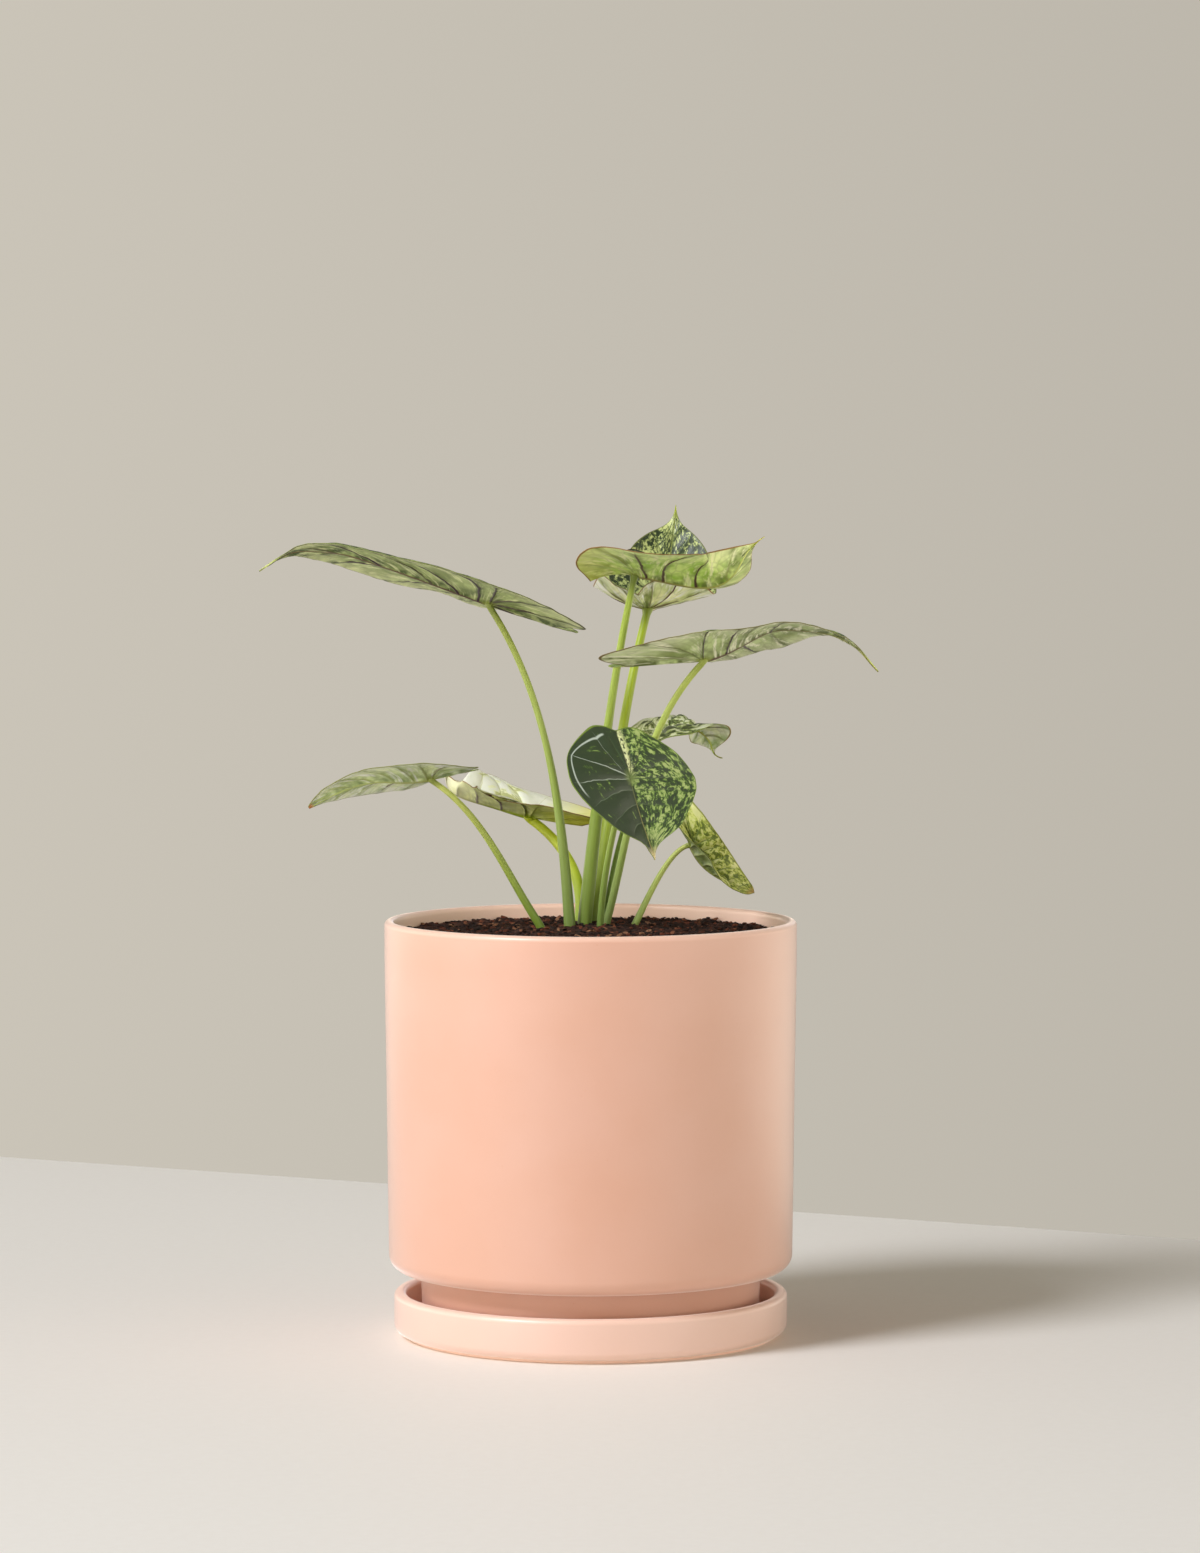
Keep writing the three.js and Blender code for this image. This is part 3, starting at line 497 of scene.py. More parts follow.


# Plant: nine leaves on their own stalks, in millimetres and degrees
# Heading, pitch, roll, fold and curl are angles at places q along the midrib, which is 0 at the stalk's
# join, 1 at the tip and below 0 in the lobes. The pigments are the main veins' shares of brown-purple,
# and the bows are by the number of the vein, for those that don't bow like the rest.
# Each leaf's and stalk's colours are set lighter or darker by the light that falls on that leaf and shines
# through it, the undersides most: besides the plant's own colours they hold painted light.
leafTable = [dict(
    name="long_left", join=[-44.1, 2, 319.7], length=106.5, lobe=40.5, notch=29.5, halfWidth=41.5,
    drip=0.86,
    heading={-0.4: 186, 0: 185, 1: 175},
    pitch={-0.4: 20, 0.45: 19, 0.6: 15, 0.7: 4, 0.8: -2, 0.9: -31, 1: -33},
    roll={-0.4: 4, 1: 10},
    foldLeft={0: 18, 0.3: 19, 0.6: 13, 1: 0}, curlLeft={-0.4: -23, 0.6: -33},
    foldRight={-0.4: 13, 0: -1, 0.2: -1, 0.4: -7, 0.7: -13, 1: -7}, curlRight={-0.4: -1, 0.5: 12},
    wave=1, phaseLeft=0.6, phaseRight=2,
    petiole=dict(
        path=[[-9.2, -7, 181.9], [-12.7, -5.5, 229.4], [-17.7, -1.8, 278.7]],
        radii={0: 2.5, 0.3: 1.95, 0.55: 1.5, 1: 1.35},
        look=dict(low="687e38", middle="8c9f49", high="a0ac54", top="838e40"),
    ),
    veinStarts=[0, 0, 0, 0, 0.05, 0.13, 0.25, 0.47, 0.66, 1],
    veinEndsLeft=[0, 0.17, 0.29, 0.39, 0.47, 0.54, 0.6, 0.68, 0.77, 1],
    veinBowsLeft={3: (0.6, -0.05), 4: (0.9, 0.1), 5: (0.5, 0.4), 7: (0.55, 0.5)},
    veinEndsRight=[0, 0.14, 0.25, 0.36, 0.43, 0.48, 0.53, 0.65, 0.76, 1],
    veinBowsRight={6: (0.57, 0.5), 7: (0.5, 0.55)},
    pigmentLeft=[0, 0.9, 0.8, 1, 1, 1, 0.8, 1, 0.7, 0.2],
    pigmentRight=[0, 0.9, 0.8, 0.4, 0.4, 0.5, 1, 1, 0.5, 0.2],
    under=dict(
        pale="afbe7a", deep="818f50", shade="465627", streak="edf0b8", vein="36202a", midrib="4f3232",
        midribTip="7a6a45", margin="55502f", marginWidth=0.6, plainVein="849048", net="697144",
        midribWidth=1.4, shadeShare=0.65, tip="ccd472", tipStart=0.9, streakShare=0.52,
    ),
    upper=dict(dark="3c4a30", middle="66743c", lime="96a05c", tip="ccd472", tipStart=0.9),
), dict(
    name="upper_front", join=[19.1, -12, 332.5], length=66.5, lobe=18, notch=20.5, halfWidth=37, drip=0.88,
    heading={-0.4: -31, 0: -3, 0.6: -4, 1: -10},
    pitch={-0.4: 29, 0: -8, 0.3: -11, 0.5: 6, 0.65: 45, 0.8: 61, 1: 32},
    roll={-0.4: -12, 0.3: -17, 0.6: -28, 1: -67},
    foldLeft={-0.4: 42, 0.3: 21, 0.7: 27}, curlLeft=-5,
    foldRight={-0.4: 37, 0: 9, 0.5: 20}, curlRight=-14,
    wave=1.2, phaseLeft=0, phaseRight=1,
    petiole=dict(
        path=[[-2.5, -3, 181.6], [2.9, -4.5, 232.5], [8.4, -8.2, 283]],
        radii={0: 3.1, 0.27: 2.75, 0.6: 1.8, 1: 1.4},
        look=dict(low="6e8434", middle="819637", high="9bae43", top="68772a"),
    ),
    veinStarts=[0, 0, 0, 0.08, 0.19, 0.41, 0.62, 1], veinEndsLeft=[0, 0.17, 0.3, 0.4, 0.5, 0.61, 0.73, 1],
    veinEndsRight=[0, 0.17, 0.29, 0.37, 0.52, 0.63, 0.75, 1],
    veinBowsRight={3: (0.5, 0.8), 4: (1.05, -0.4), 5: (1.15, -0.3), 6: (0.8, 0)},
    pigmentLeft=[0, 0.52, 0.52, 0.78, 0.78, 0.78, 0.39, 0.13],
    pigmentRight=[0, 0.13, 0.26, 1, 1, 1, 0.26, 0.13],
    under=dict(
        pale="dff092", deep="a2c74c", shade="6a7839", streak="f0f0bb", vein="4d342a", plainVein="a9b561",
        midrib="7f6c46", midribTip="bbc464", margin="8a6a38", tip="d8e052", net="7f865a", tipStart=0.88,
        streakShare=0.85, edgeShare=0.55, cloudSize=7, rear="c8cc5a", rearShare=0.55, rearStart=0.2,
        shadeShare=0.55,
    ),
    upper=dict(limeShare=[0.3, 0.3], margin="7a5a34", tip="d8e052", tipStart=0.88),
), dict(
    name="upper_rear", join=[25.2, 46, 316.5], length=69.5, lobe=30, notch=19.5, halfWidth=28.5,
    widest=0.05, shoulder=0.65, drip=0.88, dripWidth=0.1,
    heading={-0.4: 84, 0: 72, 1: 75},
    pitch={-0.4: -4, -0.15: -25, 0.1: 5, 0.4: 49, 0.7: 62, 0.85: 64, 1: 84},
    roll={-0.4: -10, 0.5: 2},
    foldLeft={-0.4: 26, 0: 11, 0.3: 25, 1: 16}, curlLeft=32,
    foldRight={-0.4: 23, 0: 11, 0.3: 6, 1: 12}, curlRight=7,
    wave=1.2, phaseLeft=2.5, phaseRight=0.8,
    petiole=dict(
        path=[[1.4, 5, 180.9], [8.2, 8.9, 226.1], [13.7, 27, 271.7]],
        radii={0: 3.2, 0.27: 2.95, 0.6: 2.1, 1: 1.7},
        look=dict(low="7c8f3b", middle="9fb235", high="91a321", top="72811c"),
    ),
    pigmentLeft=[0, 0.52, 0.65, 1, 0.52, 0.39, 0.26, 0.26, 0.13, 0.13],
    pigmentRight=[0, 0.52, 1, 0.78, 0.52, 0.39, 0.26, 0.26, 0.13, 0.13],
    under=dict(
        pale="f0f0b8", deep="c4d17e", shade="7a883d", streak="f0f0f0", vein="5a3c30", midrib="7a5d42",
        margin="8a6a3c", plainVein="98a559", midribTip="a4b160", net="7a8254", streakShare=0.77,
        shadeShare=0.55,
    ),
    upper=dict(
        dark="333f27", middle="667243", lime="a6b26d", limeShare=[0.48, 0.3], fleckSize=1.1,
        margin="6d7440", tip="b4c428", tipStart=0.9, pale="c3cc86",
    ),
), dict(
    name="long_right", join=[48.2, -38, 296.6], length=85, lobe=41, notch=31.5, halfWidth=33.5, widest=0.08,
    shoulder=0.48, drip=0.8,
    heading={-0.4: -11, 0: 5, 1: 6},
    pitch={-0.4: 6, -0.05: 6, 0.1: 22, 0.3: 27, 0.45: 0, 0.6: -7, 0.75: -25, 0.9: -50, 1: -45},
    roll={-0.5: -6, 1: 6},
    foldLeft={-0.4: 14, 0: 2, 0.3: -14, 0.5: -23, 0.8: -5}, curlLeft=-4,
    foldRight={-0.4: 20, 0: 24, 0.35: 11, 0.6: 13}, curlRight=-4,
    wave=1, phaseLeft=2.5, phaseRight=-1.2,
    petiole=dict(
        path=[[7.1, -2, 181.5], [17.9, -7.8, 221.6], [16.8, -22.6, 266.6]], radii={0: 1.7, 1: 1.4},
        neck=0.08, look=dict(low="74874a", middle="98ac56", high="aebc5a", top="939f46"),
    ),
    veinStarts=[0, 0, 0, 0, 0.12, 0.21, 0.37, 0.6, 0.8, 1],
    veinEndsLeft=[0, 0.17, 0.3, 0.4, 0.44, 0.48, 0.55, 0.66, 0.79, 1], veinBowsLeft={5: (1.1, 0.6)},
    veinEndsRight=[0, 0.17, 0.29, 0.4, 0.44, 0.47, 0.51, 0.6, 0.75, 1],
    veinBowsRight={3: (1.15, -0.35), 4: (0.6, 0.5), 6: (0.54, 0.16)},
    pigmentLeft=[0, 0.26, 0.26, 0.26, 0.26, 1, 0.26, 0.26, 0.26, 0.26],
    pigmentRight=[0, 0.39, 0.39, 1, 1, 0.2, 1, 0.26, 0.26, 0.26],
    under=dict(
        pale="bacc89", deep="91a061", shade="606b3a", streak="f0f0d2", vein="36202a", midrib="553a34",
        midribTip="999d60", margin="6c5c38", plainVein="96a45a", net="788155", shadeShare=0.65,
        tip="d3de66", tipStart=0.84, streakShare=0.77, edgeShare=0.5,
    ),
    upper=dict(tip="d3de66", tipStart=0.84),
), dict(
    name="front", join=[16.7, -46, 246.7], length=37.5, lobe=24, notch=24, halfWidth=34, widest=0.02,
    shoulder=0.59, drip=0.84, dripWidth=0.13,
    heading={-0.5: -66, 1: -29},
    pitch={-0.5: -48, 0: -66, 1: -67},
    roll={-0.6: 4, 1: 39},
    foldLeft={-0.5: -7, 0: -18, 1: 4}, curlLeft=0,
    foldRight={-0.5: 18, 0: 36, 1: 49}, curlRight=-30,
    wave=0.8, phaseLeft=0.6, phaseRight=0.8,
    petiole=dict(
        path=[[4.3, -8, 182], [5.7, -14.2, 204.4], [10.3, -30, 226.9]], radii={0: 1.5, 1: 1.2},
        look=dict(low="6d8642", middle="8aa14d", high="a0b25b"),
    ),
    veinStarts=[0, 0, 0, 0, 0.02, 0.15, 0.33, 0.54, 0.76, 1],
    veinEndsLeft=[0, 0.1, 0.19, 0.3, 0.4, 0.47, 0.55, 0.65, 0.79, 1],
    veinEndsRight=[0, 0.1, 0.19, 0.32, 0.42, 0.5, 0.58, 0.67, 0.8, 1],
    veinBowsRight={2: (0.44, -0.05), 3: (0.86, 0.7), 4: (0.61, 0.5)},
    pigmentLeft=[0, 0, 0, 0, 0, 0, 0, 0, 0, 0], pigmentRight=[0, 0, 0.6, 1, 0.6, 0.15, 0.1, 0.1, 0.1, 0],
    upper=dict(
        dark="35422d", middle="475c2f", lime="7c974c", limeShare=[0.49, -0.12], fleckSize=1, vein="b4bfb4",
        plainVein="4c5f3a", midrib="465a36", midribTip="c2b878", midribWidth=0.6, tip="f6e6ae",
        tipStart=0.84, margin="6f8436", roughness=0.5, pale="a9b875",
        rimVein=dict(start=1.5, stop=4.3, at=0.88), strip=dict(width=3.5, color="dde0a8"),
    ),
    quiltShare=0.55,
), dict(
    name="middle_rear", join=[31, 34, 262.6], length=35, lobe=15.5, notch=10, halfWidth=25, widest=0.11,
    shoulder=0.63, drip=0.82,
    heading={-0.4: -14, 1: 22},
    pitch={-0.4: 22, 0: 24, 0.4: -15, 0.6: -44, 0.8: -72, 0.9: -42, 1: -7},
    roll={-0.4: 30, 0.1: 9, 0.4: 4, 0.7: -28, 1: -49},
    foldLeft=24, curlLeft=-55,
    foldRight=17, curlRight=-30,
    wave=0.6, phaseLeft=0.5, phaseRight=2.1,
    petiole=dict(
        path=[[6.7, 9, 180.5], [9.7, 13.4, 210.9], [19.5, 23.3, 238.1]], radii={0: 1.5, 1: 1.2},
        look=dict(low="66803c", middle="7f9a46", high="93a852"),
    ),
    pigmentLeft=[0, 0.13, 0.13, 0.26, 0.39, 0.39, 0.39, 0.26, 0.13, 0.13],
    pigmentRight=[0, 0.13, 0.13, 0.39, 0.78, 0.91, 1, 0.52, 0.13, 0.13],
    under=dict(
        pale="f0f0dd", deep="e4f0af", shade="85a258", streak="f0f0f0", vein="4b342a", midrib="8b654a",
        midribTip="a9bf47", tip="9aa83c", tipStart=0.86, margin="8a7a42", plainVein="adbf6b", net="8b9765",
        shadeShare=0.55, streakShare=0.57,
    ),
    upper=dict(
        dark="4a5334", middle="8d9c5a", lime="cad0a3", limeShare=[0.62, 0.38], tip="9aa83c", tipStart=0.88,
        pale="dadfc0",
    ),
), dict(
    name="hanging", join=[43.8, 8, 214.2], length=38, lobe=22, notch=14, halfWidth=15.5, shoulder=0.59,
    drip=0.9, dripWidth=0.25,
    heading={-0.4: -16, 1: -29},
    pitch={-0.4: -65, 0: -65, 0.4: -35, 1: -14},
    roll={-0.4: 80, 1: 45},
    foldLeft={-0.5: 25, 0.4: 20, 1: -17}, curlLeft=18,
    foldRight={-0.5: 80, 0.3: 94, 0.55: 78, 0.8: 40, 1: 15}, curlRight=6,
    wave=0.6, phaseLeft=-0.4, phaseRight=0.1,
    petiole=dict(
        path=[[19.8, 2, 180.7], [24.5, 2.6, 189.9], [31.6, 5.9, 213.7]], radii={0: 1.5, 1: 1}, neck=0.4,
        look=dict(low="889e51", middle="abbb5c", high="b9c067"),
    ),
    under=dict(
        pale="94a966", deep="778c4f", shade="516230", streak="c5d68d", vein="4a4a2c", midrib="7d7f42",
        margin="5f6a35", tip="8a7440", plainVein="9caa59", midribTip="a9b760", net="7d8654",
        shadeShare=0.55, streakShare=0.57,
    ),
    upper=dict(
        dark="657334", middle="a4af4e", lime="c7cd74", limeShare=[0.5, 0.55], fleckSize=0.9,
        midrib="97953e", tip="b08a52", tipStart=0.9, margin="8a8f40", pale="d2d494",
    ),
), dict(
    name="low_left", join=[-68.9, -20, 244.7], length=56.5, lobe=20, notch=15, halfWidth=23.5,
    shoulder=0.54, drip=0.98,
    heading={-0.4: 182, 1: 166},
    pitch={-0.4: -6, 0: -11, 0.3: 2, 0.45: -8, 0.7: -23, 1: -28},
    roll={-0.4: 6, 1: 8},
    foldLeft={-0.4: 13, 0: 21, 1: 22}, curlLeft=-18,
    foldRight={-0.4: 8, 0: 1, 0.3: -7, 1: -13}, curlRight=0,
    wave=0.8, phaseLeft=0.1, phaseRight=0.5,
    petiole=dict(
        path=[[-22.8, -4, 180.8], [-36.8, -6.7, 202.6], [-46.7, -13.2, 229.5]], radii={0: 1.8, 1: 1.2},
        look=dict(low="718b33", middle="a0b250", high="d4df79"),
    ),
    pigmentLeft=[0, 0.26, 0.65, 0.39, 0.26, 0.26, 0.26, 0.26, 0.13, 0.13],
    pigmentRight=[0, 0.13, 0.26, 0.39, 0.39, 0.91, 0.26, 0.26, 0.13, 0.13],
    under=dict(
        pale="e3f0b5", deep="bacd8a", shade="798c55", streak="f0f0f0", vein="5a4a34", midrib="8e9059",
        tip="b0703c", tipStart=0.95, margin="7d7f4a", plainVein="a6b66b", midribTip="b3c473", net="859065",
        shadeShare=0.55, streakShare=0.57,
    ),
), dict(
    name="young_folded", join=[-26.8, 23.2, 225.4], length=44, lobe=28, notch=23.5, halfWidth=25.5,
    widest=0.43, shoulder=1.01, drip=0.97,
    heading={-0.55: 172, 1: 179},
    pitch={-0.55: 7, 0.2: 16, 0.75: 26, 1: 93},
    roll={-0.55: -2, 1: 8},
    foldLeft={-0.6: 30, -0.2: 29, 0.2: 14, 0.5: 9, 0.8: 25, 1: 48}, curlLeft=-1,
    foldRight={-0.6: 49, 0.2: 50, 0.7: 65, 1: 59}, curlRight=-54,
    wave=1, phaseLeft=-0.9, phaseRight=1,
    petiole=dict(
        path=[[-4.7, 7, 180.7], [-1.4, 10.5, 204.5], [-16.2, 20, 219.5]], radii={0: 2.5, 1: 1.9}, neck=0.12,
        look=dict(low="8fa92c", middle="bfcf39", high="becb34", top="aab825"),
    ),
    veinStarts=[0, 0, 0, 0.05, 0.3, 0.55, 0.76, 1], veinEndsLeft=[0, 0.17, 0.3, 0.42, 0.51, 0.6, 0.72, 1],
    veinBowsLeft={3: (1.1, -0.2), 4: (1.1, -0.2), 5: (1.1, -0.1)},
    veinEndsRight=[0, 0.17, 0.3, 0.42, 0.51, 0.6, 0.72, 1],
    pigmentLeft=[0, 0.26, 0.39, 0.65, 1, 1, 0.52, 0.13],
    pigmentRight=[0, 0.13, 0.13, 0.26, 0.26, 0.26, 0.13, 0.13],
    under=dict(
        pale="cdd58a", deep="b2bb62", shade="657719", streak="ebf088", vein="4d3420", midrib="9ab312",
        midribTip="7f7031", midribWidth=2.6, margin="8a6a3a", join="869613", plainVein="9aaa4b",
        net="7c8647", tip="d5d4b2", tipStart=0.45, rear="c9c53a", rearShare=0.8, rearStart=0.05,
    ),
    upper=dict(
        dark="bec083", middle="eceec2", lime="eaecd9", limeShare=[0.7, 0.7], fleckSize=4, vein="b5b678",
        plainVein="c4c584", midrib="c4c581", midribTip="c4c581", margin="a08a50", tip="c2c290",
        roughness=0.5, rear="dcd65a", rearShare=0.8, rearStart=0.1, pale="eeeedd",
    ),
)]

# Main veins in order, the first at the lobe's end and the last at the tip: their starts as shares of the
# midrib, their ends as shares of the outline, and for each how far it bows out and how early it turns
plainVeins = {
    "starts": [0, 0, 0, 0.03, 0.13, 0.28, 0.44, 0.61, 0.79, 1],
    "ends": [0, 0.17, 0.3, 0.4, 0.475, 0.55, 0.63, 0.71, 0.79, 1],
    "bow": (0.62, 0.3),
}

blade = {
    "thickness": 0.55, "marginThickness": 0.34,  # mm
    "quilt": 0.9,  # mm, how far the blade swells between veins
    "veinHeight": 0.34, "veinSpread": 0.5,  # mm, main veins on the underside
    "midribHeight": 1.0, "midribTipHeight": 0.15, "midribSpread": 1.15, "midribTipSpread": 0.35,
    "pucker": 0.16,  # mm, small unevenness between the finer veins
    "waves": 3,  # along each margin
    # Places of grid lines from one vein to the next, and from the midrib to the margin
    "rows": (0, 0.03, 0.07, 0.12, 0.2, 0.31, 0.43, 0.57, 0.69, 0.8, 0.88, 0.93, 0.97),
    "columns": (0, 0.01, 0.022, 0.04, 0.065, 0.1, 0.15, 0.2, 0.26, 0.32, 0.38, 0.44, 0.5, 0.56, 0.62, 0.68,
                0.74, 0.79, 0.84, 0.88, 0.92, 0.95, 0.975, 0.99, 1.0),
}


def unit(vectors):
    return vectors / np.linalg.norm(vectors, axis=-1, keepdims=True)


def blended(start, end, share):
    return start + (end - start) * share


def smoothStep(low, high, value):
    part = np.clip((value - low) / (high - low), 0, 1)
    return part * part * (3 - 2 * part)


def bend(start, middle, end, s):
    return (1 - s) ** 2 * start + 2 * s * (1 - s) * middle + s ** 2 * end


def hermite(start, end, slope0, slope1, w):
    curve = (2 * (start - end) + slope0 + slope1) * w ** 3
    return curve + (3 * (end - start) - 2 * slope0 - slope1) * w ** 2 + slope0 * w + start


# Degrees in a table against q, joined by smooth curves, in radians
def angleAt(pairs, q):
    if isinstance(pairs, (int, float)):
        return np.full(np.shape(q), math.radians(pairs))
    places, angles = np.array([*pairs.items()], float).T
    slopes = np.zeros(len(pairs))
    slopes[1:-1] = (angles[2:] - angles[:-2]) / (places[2:] - places[:-2])
    q = np.clip(q, places[0], places[-1])
    at = np.clip(np.searchsorted(places, q, side="right") - 1, 0, len(pairs) - 2)
    span = places[at + 1] - places[at]
    return np.radians(hermite(
        angles[at], angles[at + 1], slopes[at] * span, slopes[at + 1] * span, (q - places[at]) / span))


def catmull(points, share):
    points = np.array(points, float)
    last = len(points) - 1
    place = last * np.asarray(share, float)
    at = np.minimum(place.astype(int), last)
    before, here = points[np.maximum(at - 1, 0)], points[at]
    after, beyond = points[np.minimum(at + 1, last)], points[np.minimum(at + 2, last)]
    before = np.where((at == 0)[..., None], here, before)
    return hermite(here, after, (after - before) / 2, (beyond - here) / 2, (place - at)[..., None])


def outlinePoints(leaf):
    half, length = leaf["halfWidth"], leaf["length"]
    return [
        (0, -leaf["notch"]), (0.4 * half, -leaf["lobe"]), (half, leaf.get("widest", 0.06) * length),
        (leaf.get("shoulder", 0.56) * half, 0.62 * length),
        (leaf.get("dripWidth", 0.065) * half, leaf["drip"] * length), (0, length),
    ]


def midribFrame(leaf, q):
    heading, pitch, roll = (angleAt(leaf[key], q)[..., None] for key in ("heading", "pitch", "roll"))
    flat = np.cos(pitch)
    along = np.concatenate([flat * np.cos(heading), flat * np.sin(heading), np.sin(pitch)], -1)
    level = np.concatenate([-np.sin(heading), np.cos(heading), 0 * heading], -1)
    upright = np.cross(along, level)
    return along, level * np.cos(roll) + upright * np.sin(roll), upright * np.cos(roll) - level * np.sin(roll)


def midribLine(leaf, steps=120):
    back = -1.15 * leaf["lobe"]
    places = np.linspace(back, leaf["length"], steps + 1)
    along = midribFrame(leaf, places / leaf["length"])[0]
    step = (leaf["length"] - back) / steps
    points = np.vstack([np.zeros(3), np.cumsum((along[1:] + along[:-1]) * step / 2, axis=0)])

    def lineAt(y):
        return np.stack([np.interp(y, places, points[:, i]) for i in range(3)], -1)

    points += np.array(leaf["join"], float) - lineAt(0)
    return lineAt


# Direction of the crease along the midrib, how far its faces spread, and the mean fold
def crease(leaf, q):
    _, across, normal = midribFrame(leaf, q)
    left, right = angleAt(leaf["foldLeft"], q)[..., None], angleAt(leaf["foldRight"], q)[..., None]
    leftUp = normal * np.cos(left) - across * np.sin(left)
    up = unit(leftUp + normal * np.cos(right) + across * np.sin(right))
    spread = 1 / np.maximum(0.5, (up * leftUp).sum(-1, keepdims=True))
    return up, spread, (left + right) / 2


# Flat place of grid lines k (counted in veins) and t (share of the way to the margin)
def flatPlace(leaf, veins, k, t):
    i = np.minimum(k.astype(int), len(veins) - 2)
    part = (k - i)[..., None]
    row = veins[i] * (1 - part) + veins[i + 1] * part
    start, share, pull, lean = (row[..., j] for j in range(4))
    start = start * leaf["length"]
    end = catmull(outlinePoints(leaf), np.minimum(share, 1))
    x = bend(0, pull * end[..., 0], end[..., 0], t)
    y = bend(start, start + lean * (end[..., 1] - start), end[..., 1], t)
    return x, y, share, k - i


def veinsOf(leaf, side):
    starts = leaf.get("veinStarts", plainVeins["starts"])
    ends = leaf.get("veinEnds" + side, plainVeins["ends"])
    bows = leaf.get("veinBows" + side, {})
    rows = [(*pair, *bows.get(i, plainVeins["bow"])) for i, pair in enumerate(zip(starts, ends))]
    return np.array(rows, float)


def bladeGrid(leaf, side, midrib):
    columns = np.array(blade["columns"])
    veins = veinsOf(leaf, side)
    cells = len(veins) - 1
    length, halfWidth, handSign = leaf["length"], leaf["halfWidth"], 1 if side == "Left" else -1
    lines = np.array([i + row for i in range(cells) for row in blade["rows"]] + [cells])
    k, t = np.meshgrid(lines, columns, indexing="ij")
    x, y, share, part = flatPlace(leaf, veins, k, t)
    edgeX, edgeY, _, _ = flatPlace(leaf, veins, *np.meshgrid(lines, [1.0 + 0.25 / halfWidth], indexing="ij"))

    # Distance between neighbouring veins, square to them
    stepK, stepT = (np.stack([np.gradient(x, marks, axis=axis), np.gradient(y, marks, axis=axis)], -1)
                    for axis, marks in enumerate((lines, columns)))
    size = np.linalg.norm(stepT, axis=-1) + 1e-6
    gap = np.abs(stepK[..., 0] * stepT[..., 1] - stepK[..., 1] * stepT[..., 0]) / size

    nearest = np.round(k)
    distance = np.abs(k - nearest) * gap
    real = (nearest > 0.5) & (nearest < cells - 0.5)
    fade = np.clip(1.12 - t, 0, 1) ** 0.7
    vein = np.where(real, np.exp(-((distance / blade["veinSpread"]) ** 2)), 0) * fade * smoothStep(0, 1.2, x)
    q = y / length
    ribShare = np.clip(q, 0, 1)
    ribSpread = blended(blade["midribSpread"], blade["midribTipSpread"], ribShare)
    ribHeight = blended(blade["midribHeight"], blade["midribTipHeight"], ribShare ** 0.7)
    rib = ribHeight * np.exp(-((x / ribSpread) ** 2)) * smoothStep(-3, 1, y)

    swell = np.where(k < cells - 1, 1, 0.3) * blade["quilt"] * leaf.get("quiltShare", 1)
    quilt = swell * np.sin(math.pi * part) * np.sin(math.pi * np.minimum(1, t / 0.95)) ** 0.8
    swing = np.sin(fullTurn * blade["waves"] * share + leaf["phase" + side]) * np.sin(math.pi * share)
    pucker = np.array([noise.noise(Vector((px * handSign / 4.2, py / 4.2, leaf["seed"] * 13.7)))
                       for px, py in zip(x.ravel(), y.ravel())]).reshape(x.shape)
    relief = quilt + leaf["wave"] * t * t * swing + blade["pucker"] * 2 * pucker * smoothStep(0, 5, x)
    half = blended(blade["thickness"], blade["marginThickness"], t * t) / 2

    def place(px, py, push):
        pq = py / length
        _, across, normal = midribFrame(leaf, pq)
        fold = angleAt(leaf["fold" + side], pq)
        curl = angleAt(leaf["curl" + side], pq) / halfWidth
        curl = np.where(np.abs(curl) < 1e-6, 1e-6, curl)
        angle = fold + curl * px
        out = ((np.sin(angle) - np.sin(fold)) / curl)[..., None]
        rise = ((np.cos(fold) - np.cos(angle)) / curl)[..., None]
        face = normal * np.cos(angle)[..., None] - handSign * across * np.sin(angle)[..., None]
        up, spread, _ = crease(leaf, pq)
        direction = blended(up * spread, face, smoothStep(0, 4, px)[..., None])
        return midrib(py) + handSign * across * out + normal * rise + direction * push[..., None]

    top = place(x, y, half + relief - 0.35 * blade["veinHeight"] * vein - 0.25 * rib)
    bottom = place(x, y, -half + relief - blade["veinHeight"] * vein - rib)
    edge = place(edgeX, edgeY, relief[:, -1:])
    pigments = np.array(leaf.get("pigment" + side, [0.3] * (cells + 1)), float)
    return top, bottom, edge, {
        "veinPlace": np.stack([k, t, gap], -1),
        "bladePlace": np.stack([x * handSign, y, q], -1),
        "pigment": pigments[nearest.astype(int)][..., None],
    }


def storeCorners(mesh, name, values):
    values = np.array(values, np.float32)
    kind, field = ("FLOAT_VECTOR", "vector") if values.shape[-1] == 3 else ("FLOAT", "value")
    mesh.attributes.new(name, kind, "CORNER").data.foreach_set(field, values.ravel())


